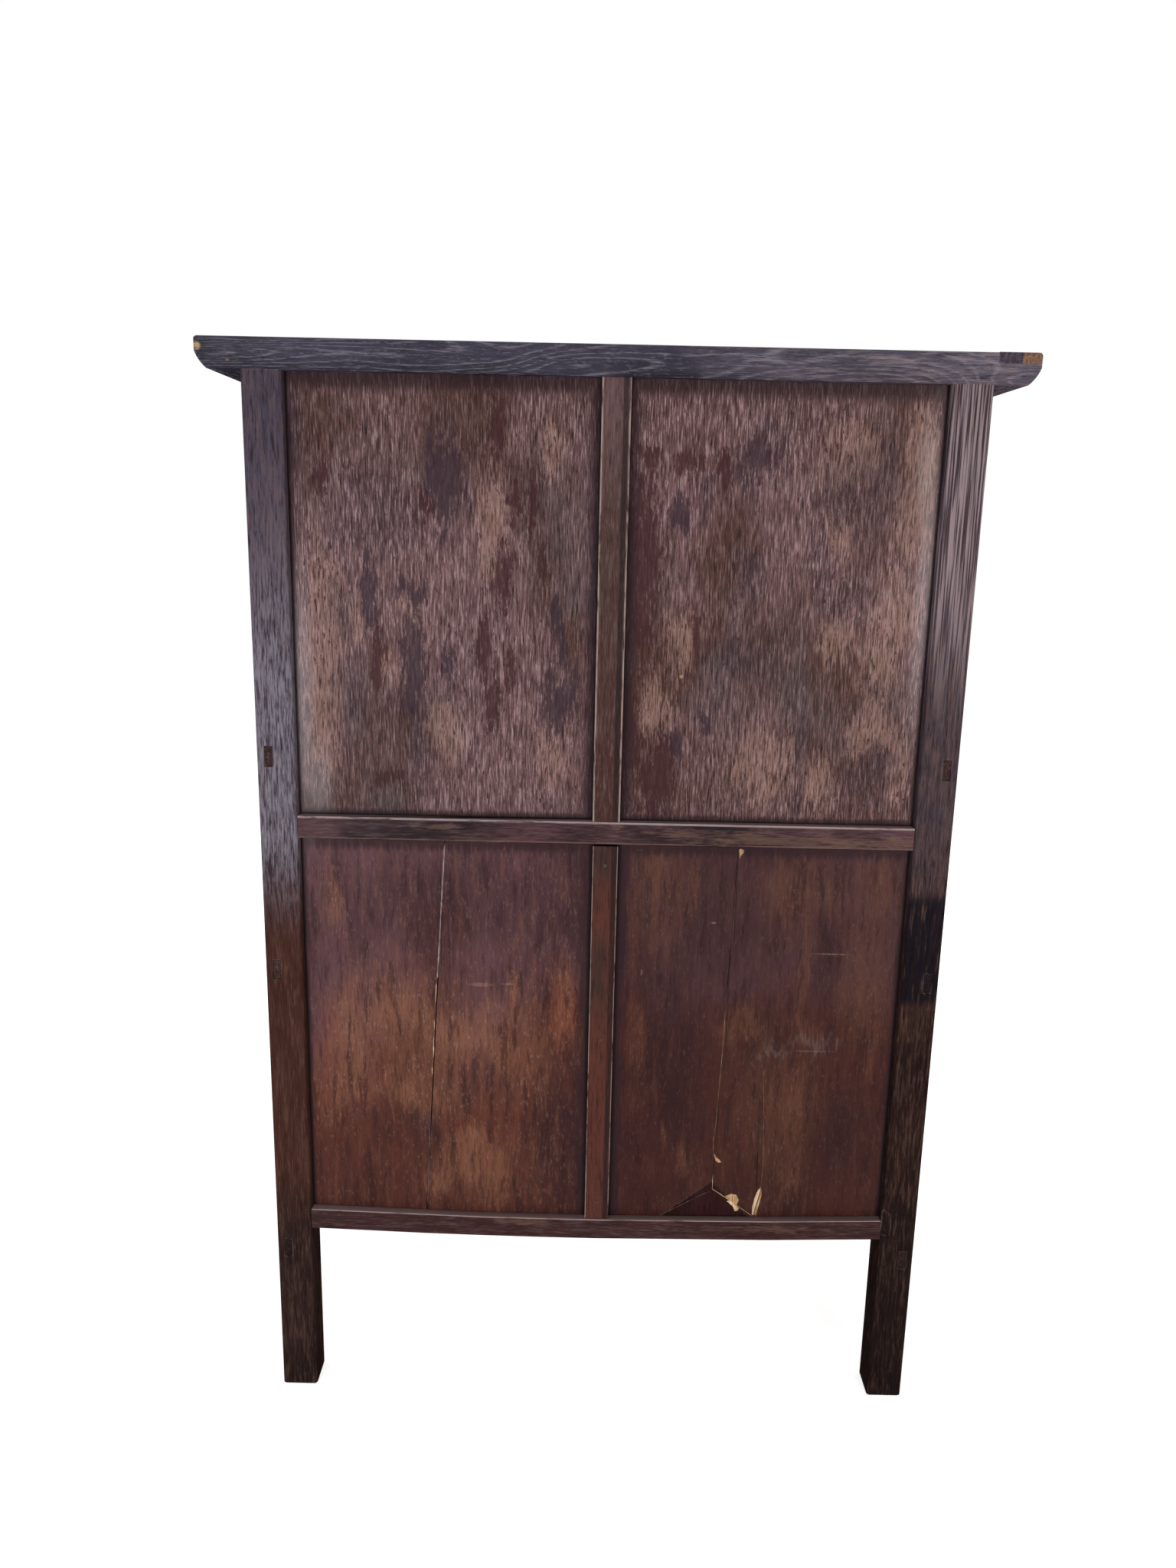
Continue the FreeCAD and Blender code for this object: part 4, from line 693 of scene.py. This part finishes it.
show(stile_wood, "back_upper_stile", "drawer_divider")
show(batten_wood, "back_lower_batten")

# Cap: chips given as patches, and where the lap and its raw outer end start and are full, in millimetres
CAP_CHIPS = [(586, 1686, 6, 6), (545, 1669, 3, 1.5)]
LAP_FOOT = (1681, 1683)
LAP_OUTER_END = (-562, -563)


def cap_wood(name, axis):
    """Grey-black weathered board whose growth rings swirl round knots, paler towards the lapped corner."""
    paint = Paint(name, axis)
    swirl = paint.noise(paint.scaled(grain_scale(axis, 5)), 14, 1.0, 0.4, 0.3).outputs[0]
    rings = paint.math("PINGPONG", paint.math("MULTIPLY", swirl, 22), 0.5)
    leftward = paint.add_up((-1.0, paint.along("x")), (0.6, paint.field("broad")))
    pale_end = paint.step(leftward, 0.30, 0.85)
    paint.base("coal", "slate", paint.where("broad", 0.36, 0.62))
    paint.lay("mauve_grey", 0.75, pale_end)
    paint.lay("dust_and_highlight", 0.6, pale_end, paint.where("streak", 0.50, 0.64))
    paint.lay("soot_and_shade", 0.8, pale_end, paint.where("streak", 0.44, 0.34))
    paint.lay("soot_and_shade", 0.65, paint.where("hair", 0.47, 0.30))
    paint.lay("ash", 0.42, paint.where("hair", 0.54, 0.72))
    paint.lay("ash", 0.45, paint.where("fleck", 0.57, 0.72))
    paint.lay("ash", 0.5, paint.step(rings, 0.20, 0.03), paint.where("hair", 0.36, 0.58))
    paint.lay("ash", 0.6, paint.edges(3), paint.where("hair", 0.45, 0.65))
    return paint, paint.add_up((-1.2, rings), (0.5, paint.field("hair")))


def finish_cap(paint, height, sheen):
    """A low sheen, and none underneath, where the wood is bare."""
    gloss = paint.fit(paint.facing(DOWN, *FACE_TURN), sheen, 0.0)
    return paint.finish(paint.fit(paint.field("broad"), 0.38, 0.54), height, 0.9, gloss)


def long_cap_wood():
    """The members along the back and front, with a chip out of one end."""
    paint, height = cap_wood("cap_wood_long", "x")
    paint.lay("raw", 0.8, paint.marks(CAP_CHIPS))
    return finish_cap(paint, height, 0.12)


def short_cap_wood():
    """The members along the sides, one with raw end wood where it laps through the back."""
    paint, height = cap_wood("cap_wood_short", "y")
    lap = paint.product(paint.facing(TO_BACK, *FACE_TURN), paint.rise("z", *LAP_FOOT))
    paint.lay("slate", 0.6, lap)
    paint.lay("orange_wood", 0.85, lap, paint.rise("x", *LAP_OUTER_END), paint.where("speck", 0.3, 0.5))
    paint.lay("umber", 0.6, lap, paint.where("fleck", 0.54, 0.40))
    return finish_cap(paint, height, 0.02)


show(long_cap_wood(), "cap_back_member", "cap_front_member", "cap_panel")
show(short_cap_wood(), "cap_left_member", "cap_right_member")


# Inside, sides and front
def bare_wood(name, axis):
    return frame_wood(name, axis, "bare_dark", "bare_light", "bare_light", furrow=0.5, edge="bare_light")


def lacquered_wood(name, axis, dark, mid):
    """Lacquer that is still whole, as on the sides and front."""
    return frame_wood(name, axis, dark, mid, "walnut", share=0.22, furrow=0.3, gloss=0.004)


show(bare_wood("inner_wood_across", "x"), "cupboard_floor", "cupboard_shelf", "display_floor",
     *[f"drawer_{side}_bottom" for side in SIDES])
show(bare_wood("inner_wood_along", "y"), "drawer_runners", "cap_battens",
     *[f"drawer_{side}_box" for side in SIDES])
show(lacquered_wood("side_panel_wood", "z", "plum_brown", "red_brown"),
     *[f"side_{level}_panels" for level in ("lower", "middle", "upper")],
     *[f"door_{side}_panel" for side in SIDES])
show(lacquered_wood("broken_corner_wood", "z", "dark_maroon", "burgundy"), "back_broken_corner")
show(lacquered_wood("door_stile_wood", "z", "black_brown", "umber"),
     *[f"door_{side}_{place}_stile" for side in SIDES for place in ("hanging", "meeting")])
show(lacquered_wood("door_rail_wood", "x", "black_brown", "umber"),
     *[f"door_{side}_rails" for side in SIDES], *[f"drawer_{side}_front" for side in SIDES])


def aged_metal(name, bright, dull, metallic, rough):
    """Metal with clouds and specks of tarnish, brightest on its arrises."""
    paint = Paint(name)
    cloud = paint.noise(paint.place, 110, 5.0, 0.6).outputs[0]
    speck = paint.noise(paint.place, 900, 3.0, 0.6).outputs[0]
    tarnish = paint.step(paint.add_up((0.7, cloud), (0.3, speck)), 0.34, 0.72)
    paint.base(bright, dull, tarnish)
    paint.lay(bright, 0.6, paint.edges(1))
    paint.shader.inputs["Metallic"].default_value = metallic
    height = paint.add_up((0.6, cloud), (0.4, speck))
    return paint.finish(paint.fit(tarnish, *rough), height, 0.3, 0.5)


pulls = [f"{kind}_pull_{side}" for kind in ("door", "drawer") for side in SIDES]
plate_brass = aged_metal("plate_brass", "brass_dull", "brass_dark", 1.0, (0.40, 0.62))
bail_brass = aged_metal("bail_brass", "brass", "brass_dull", 1.0, (0.30, 0.50))
show(plate_brass, *[f"{pull}_plate" for pull in pulls])
show(bail_brass, *[f"{pull}_bail" for pull in pulls])
show(aged_metal("rusted_iron", "iron", "rust", 0.6, (0.5, 0.8)), "batten_nails")

soften("back_mid_rail", "back_bottom_rail", "back_upper_stile", "back_lower_batten", "front_bottom_rail",
       "front_drawer_rail", "front_display_rail", "side_bottom_rails", "side_shelf_rails",
       "side_display_rails", "display_railing", "display_arch", "front_apron", "drawer_left_front",
       "drawer_right_front")

# Breaks and chips, in millimetres
SUNK = 0.3
LIP_SPACING = 6
LIP_END = 0.15


def raw_wood(name, shade, light):
    """Torn or worn wood, and the pale wood of the beads that stand for painted light through a crack."""
    paint = Paint(name)
    hair = paint.field("hair")
    paint.base(shade, light, paint.where("hair", 0.36, 0.62))
    paint.lay("cream", 0.5, paint.where("streak", 0.52, 0.68))
    height = paint.add_up((0.7, hair), (0.3, paint.field("speck")))
    return paint.finish(paint.fit(hair, 0.6, 0.8), height, 0.8, 0.2)


def keep(name, shape, material):
    """Make an object of a shape and let it ride on the case."""
    mesh = bpy.data.meshes.new(name)
    bmesh.ops.recalc_face_normals(shape, faces=shape.faces)
    shape.to_mesh(mesh)
    shape.free()
    mesh.materials.append(material)
    piece = bpy.data.objects.new(name, mesh)
    bpy.context.scene.collection.objects.link(piece)
    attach(piece, "cabinet")


def splinter(name, outline, lift, material, face=BACK_PANEL_FACE):
    """A torn sliver on a back face: an outline in X and Z, with a crooked ridge standing off the face."""
    dice = random.Random(name)
    shape = bmesh.new()
    middle = sum((Vector(corner) for corner in outline), Vector((0, 0))) / len(outline)
    foot = []
    ridge = []
    for corner in outline:
        x, z = corner
        foot.append(shape.verts.new((x * MM, (face - SUNK) * MM, z * MM)))
        inner = middle.lerp(Vector(corner), dice.uniform(0.35, 0.7))
        height = face + lift * dice.uniform(0.5, 1.0)
        ridge.append(shape.verts.new((inner.x * MM, height * MM, inner.y * MM)))
    shape.faces.new(foot)
    shape.faces.new(ridge)
    for index in range(len(outline)):
        after = (index + 1) % len(outline)
        shape.faces.new((foot[index], foot[after], ridge[after], ridge[index]))
    keep(name, shape, material)


def lip(name, route, width, lift, material):
    """A low three-sided bead through points in X and Z: a ragged raw edge along a break, and in the first
    crack a pale strip of painted light.
    """
    dice = random.Random(name)
    places = []
    for start, end in zip(route, route[1:]):
        start = Vector(start)
        end = Vector(end)
        count = max(1, round((end - start).length / LIP_SPACING))
        places += [start.lerp(end, index / count) for index in range(count)]
    places.append(Vector(route[-1]))
    shape = bmesh.new()
    rows = []
    for index, place in enumerate(places):
        run = places[min(index + 1, len(places) - 1)] - places[max(index - 1, 0)]
        side = Vector((-run.y, run.x)).normalized()
        fullness = LIP_END if index in (0, len(places) - 1) else 1.0
        half = width / 2 * fullness * dice.uniform(0.45, 1.0)
        crest = dice.uniform(-0.3, 0.3) * half
        row = []
        for offset, height in ((-half, -SUNK), (crest, lift * fullness), (half, -SUNK)):
            spot = place + side * offset
            row.append(shape.verts.new((spot.x * MM, (BACK_PANEL_FACE + height) * MM, spot.y * MM)))
        rows.append(row)
    for row, after in zip(rows, rows[1:]):
        for index in range(3):
            turn = (index + 1) % 3
            shape.faces.new((row[index], row[turn], after[turn], after[index]))
    shape.faces.new(rows[0])
    shape.faces.new(rows[-1])
    keep(name, shape, material)


torn = raw_wood("torn_wood", "raw_shade", "raw")
pale = raw_wood("pale_wood", "raw", "cream")
worn_edge = raw_wood("worn_edge", "grey_brown", "pale_ridge")
dull_edge = raw_wood("dull_edge", "umber", "olive_tan")
FLAP = [(-214, 368), (-224, 374), (-233, 372), (-238, 362), (-234, 350), (-227, 355)]
SPIKE = [(-217, 359), (-226, 361), (-233, 352), (-238, 346), (-236, 341), (-231, 340), (-227, 350)]
LEAF = [
    (-273, 388), (-268, 381), (-263, 366), (-260, 350), (-260, 333), (-262, 331), (-264, 345), (-268, 360),
    (-272, 375),
]
STRIP = [
    (-274, 386), (-273, 375), (-269, 360), (-265, 345), (-263, 331), (-267, 331), (-271, 352), (-275, 372),
]
FLAKE = [(-192, 446), (-196, 440), (-202, 435), (-206, 429), (-201, 428), (-196, 431), (-193, 438)]
CHIP = [(-207, 968), (-211, 970), (-216, 968), (-215, 962), (-211, 957), (-209, 951), (-208, 958)]
NIB = [(-472, 356), (-475, 361), (-487, 353), (-490, 330), (-489, 310), (-478, 309), (-473, 313)]
# Pale beads in the first crack: painted light showing through it
CRACK_PAINTED_LIGHT = [
    [(264, 737), (266, 702)], [(268, 674), (268, 655)], [(269, 645), (270, 606)], [(272, 592), (272, 575)],
]
splinter("flap_by_the_break", FLAP, 1.6, torn)
splinter("spike_by_the_break", SPIKE, 2.4, pale)
splinter("leaf_at_the_crack", LEAF, 2.0, pale)
splinter("strip_at_the_crack", STRIP, 1.2, torn)
splinter("flake_at_the_split", FLAKE, 1.0, torn)
splinter("chip_at_the_split_top", CHIP, 1.4, torn)
lip("break_edge", [(-192, 408), (-192, 381), (-228, 356), (-262, 331)], 1.5, 0.6, pale)
lip("second_crack_edge", [(-265, 600), (-271, 510), (-274, 424), (-273, 390)], 0.8, 0.3, torn)
# Painted light through the first crack, as pale beads
for number, route in enumerate(CRACK_PAINTED_LIGHT):
    lip(f"first_crack_light_{number}", route, 2.6, 0.4, pale)
lip("first_crack_edge", [(249, 968), (255, 874), (259, 802), (263, 742)], 3.0, 0.4, worn_edge)
lip("first_crack_foot", [(274, 540), (278, 440), (282, 345)], 0.8, 0.3, worn_edge)
lip("split_edge", [(-199, 700), (-197, 615), (-193, 506), (-190, 469), (-191, 448)], 0.9, 0.3, torn)
lip("corner_edge", [(-104, 328), (-150, 355), (-188, 377)], 1.0, 0.2, dull_edge)
lip("rail_foot_edge", [(246, 973), (170, 972), (96, 973)], 1.4, 0.4, worn_edge)
lip("upper_joint_one", [(403, 1655), (401, 1560), (399, 1460)], 0.9, 0.3, worn_edge)
lip("upper_joint_two", [(206, 1656), (203, 1480), (201, 1260)], 0.7, 0.25, worn_edge)
lip("upper_joint_three", [(-277, 1470), (-281, 1380), (-284, 1260), (-286, 1190)], 1.2, 0.4, worn_edge)
splinter("post_nib", NIB, 2.0, post_wood, BACK_POST_FACE)

# Stage: sizes in metres, power in watts
WHITE = (1.0, 1.0, 1.0, 1.0)
WORLD_COLOUR = (1.0, 0.98, 0.96, 1.0)
WORLD_STRENGTH = 0.16
FLOOR_HALF = 12.0
FLOOR_COLOUR = (0.86, 0.86, 0.86, 1.0)
FLOOR_FADE = {"From Min": 0.8, "From Max": 2.2, "To Min": 0.72, "To Max": 1.0}
CABINET_MIDDLE = (0, 0, 0.95)
COOL = (0.86, 0.91, 1.0)
WARM = (1.0, 0.96, 0.95)


def light_path(tree):
    """1 for rays that should see the white background: camera, glossy and transmission rays."""
    path = tree.nodes.new("ShaderNodeLightPath")
    total = path.outputs["Is Camera Ray"]
    for name in ("Is Glossy Ray", "Is Transmission Ray"):
        both = tree.nodes.new("ShaderNodeMath")
        both.operation = "MAXIMUM"
        tree.links.new(total, both.inputs[0])
        tree.links.new(path.outputs[name], both.inputs[1])
        total = both.outputs[0]
    return total


def make_world():
    """White to the camera, and a weak warm light on the object."""
    world = bpy.data.worlds.new("studio")
    bpy.context.scene.world = world
    world.use_nodes = True
    tree = world.node_tree
    light = tree.nodes["Background"]
    light.inputs["Color"].default_value = WORLD_COLOUR
    light.inputs["Strength"].default_value = WORLD_STRENGTH
    white = tree.nodes.new("ShaderNodeBackground")
    white.inputs["Color"].default_value = WHITE
    choice = tree.nodes.new("ShaderNodeMixShader")
    tree.links.new(light_path(tree), choice.inputs[0])
    tree.links.new(light.outputs[0], choice.inputs[1])
    tree.links.new(white.outputs[0], choice.inputs[2])
    tree.links.new(choice.outputs[0], tree.nodes["World Output"].inputs["Surface"])


def make_floor():
    """Pale floor that fades into the white background and keeps the shadow."""
    mesh = bpy.data.meshes.new("floor")
    low, high = -FLOOR_HALF, FLOOR_HALF
    mesh.from_pydata([(low, low, 0), (high, low, 0), (high, high, 0), (low, high, 0)], [], [(0, 1, 2, 3)])
    floor = bpy.data.objects.new("floor", mesh)
    bpy.context.scene.collection.objects.link(floor)
    material = bpy.data.materials.new("pale_floor")
    material.use_nodes = True
    tree = material.node_tree
    shader = tree.nodes["Principled BSDF"]
    shader.inputs["Base Color"].default_value = FLOOR_COLOUR
    shader.inputs["Roughness"].default_value = 0.9
    shader.inputs["Specular IOR Level"].default_value = 0.0
    shader.inputs["Emission Color"].default_value = WHITE
    reach = tree.nodes.new("ShaderNodeVectorMath")
    reach.operation = "LENGTH"
    tree.links.new(tree.nodes.new("ShaderNodeTexCoord").outputs["Object"], reach.inputs[0])
    fade = tree.nodes.new("ShaderNodeMapRange")
    tree.links.new(reach.outputs["Value"], fade.inputs["Value"])
    for name, setting in FLOOR_FADE.items():
        fade.inputs[name].default_value = setting
    strength = tree.nodes.new("ShaderNodeMath")
    strength.operation = "MULTIPLY"
    tree.links.new(light_path(tree), strength.inputs[0])
    tree.links.new(fade.outputs[0], strength.inputs[1])
    tree.links.new(strength.outputs[0], shader.inputs["Emission Strength"])
    mesh.materials.append(material)


def make_lamp(name, place, target, width, height, power, colour):
    data = bpy.data.lights.new(name, "AREA")
    data.shape = "RECTANGLE"
    data.size = width
    data.size_y = height
    data.energy = power
    data.color = colour
    lamp = bpy.data.objects.new(name, data)
    lamp.location = place
    lamp.rotation_mode = "QUATERNION"
    lamp.rotation_quaternion = (Vector(target) - Vector(place)).to_track_quat("-Z", "Y")
    bpy.context.scene.collection.objects.link(lamp)


def make_camera():
    data = bpy.data.cameras.new("camera")
    data.sensor_width = SENSOR
    data.lens = CAMERA_FOCAL_PIXELS / PHOTO_HEIGHT * SENSOR
    camera = bpy.data.objects.new("camera", data)
    forward_level = math.cos(CAMERA_PITCH)
    forward_x = math.sin(CAMERA_YAW) * forward_level
    forward_y = -math.cos(CAMERA_YAW) * forward_level
    forward = Vector((forward_x, forward_y, -math.sin(CAMERA_PITCH)))
    level = forward.cross(Vector(UP)).normalized()
    upright = level.cross(forward)
    across = math.cos(CAMERA_ROLL) * level + math.sin(CAMERA_ROLL) * upright
    up = -math.sin(CAMERA_ROLL) * level + math.cos(CAMERA_ROLL) * upright
    turn = Matrix((across, up, -forward)).transposed()
    camera.matrix_world = Matrix.Translation(CAMERA_PLACE) @ turn.to_4x4()
    bpy.context.scene.collection.objects.link(camera)
    bpy.context.scene.camera = camera


bpy.context.scene.view_settings.view_transform = "Standard"
make_world()
make_floor()
make_lamp("window_right", (1.4, 2.9, 0.80), (1.4, 0, 0.80), 0.6, 1.5, 37, COOL)
make_lamp("window_left", (-1.4, 2.9, 1.30), (-1.4, 0, 1.30), 0.6, 1.6, 37, WARM)
make_lamp("ceiling", (0.2, 1.6, 3.4), (0, 0.2, 0.9), 2.6, 1.6, 22, COOL)
make_lamp("front_fill", (0.0, -3.6, 2.4), CABINET_MIDDLE, 3.0, 2.0, 46, WARM)
make_lamp("side_right", (3.2, -1.4, 1.3), CABINET_MIDDLE, 1.2, 1.8, 34, WARM)
make_lamp("side_left", (-3.2, -1.4, 1.3), CABINET_MIDDLE, 1.2, 1.8, 34, WARM)
make_camera()
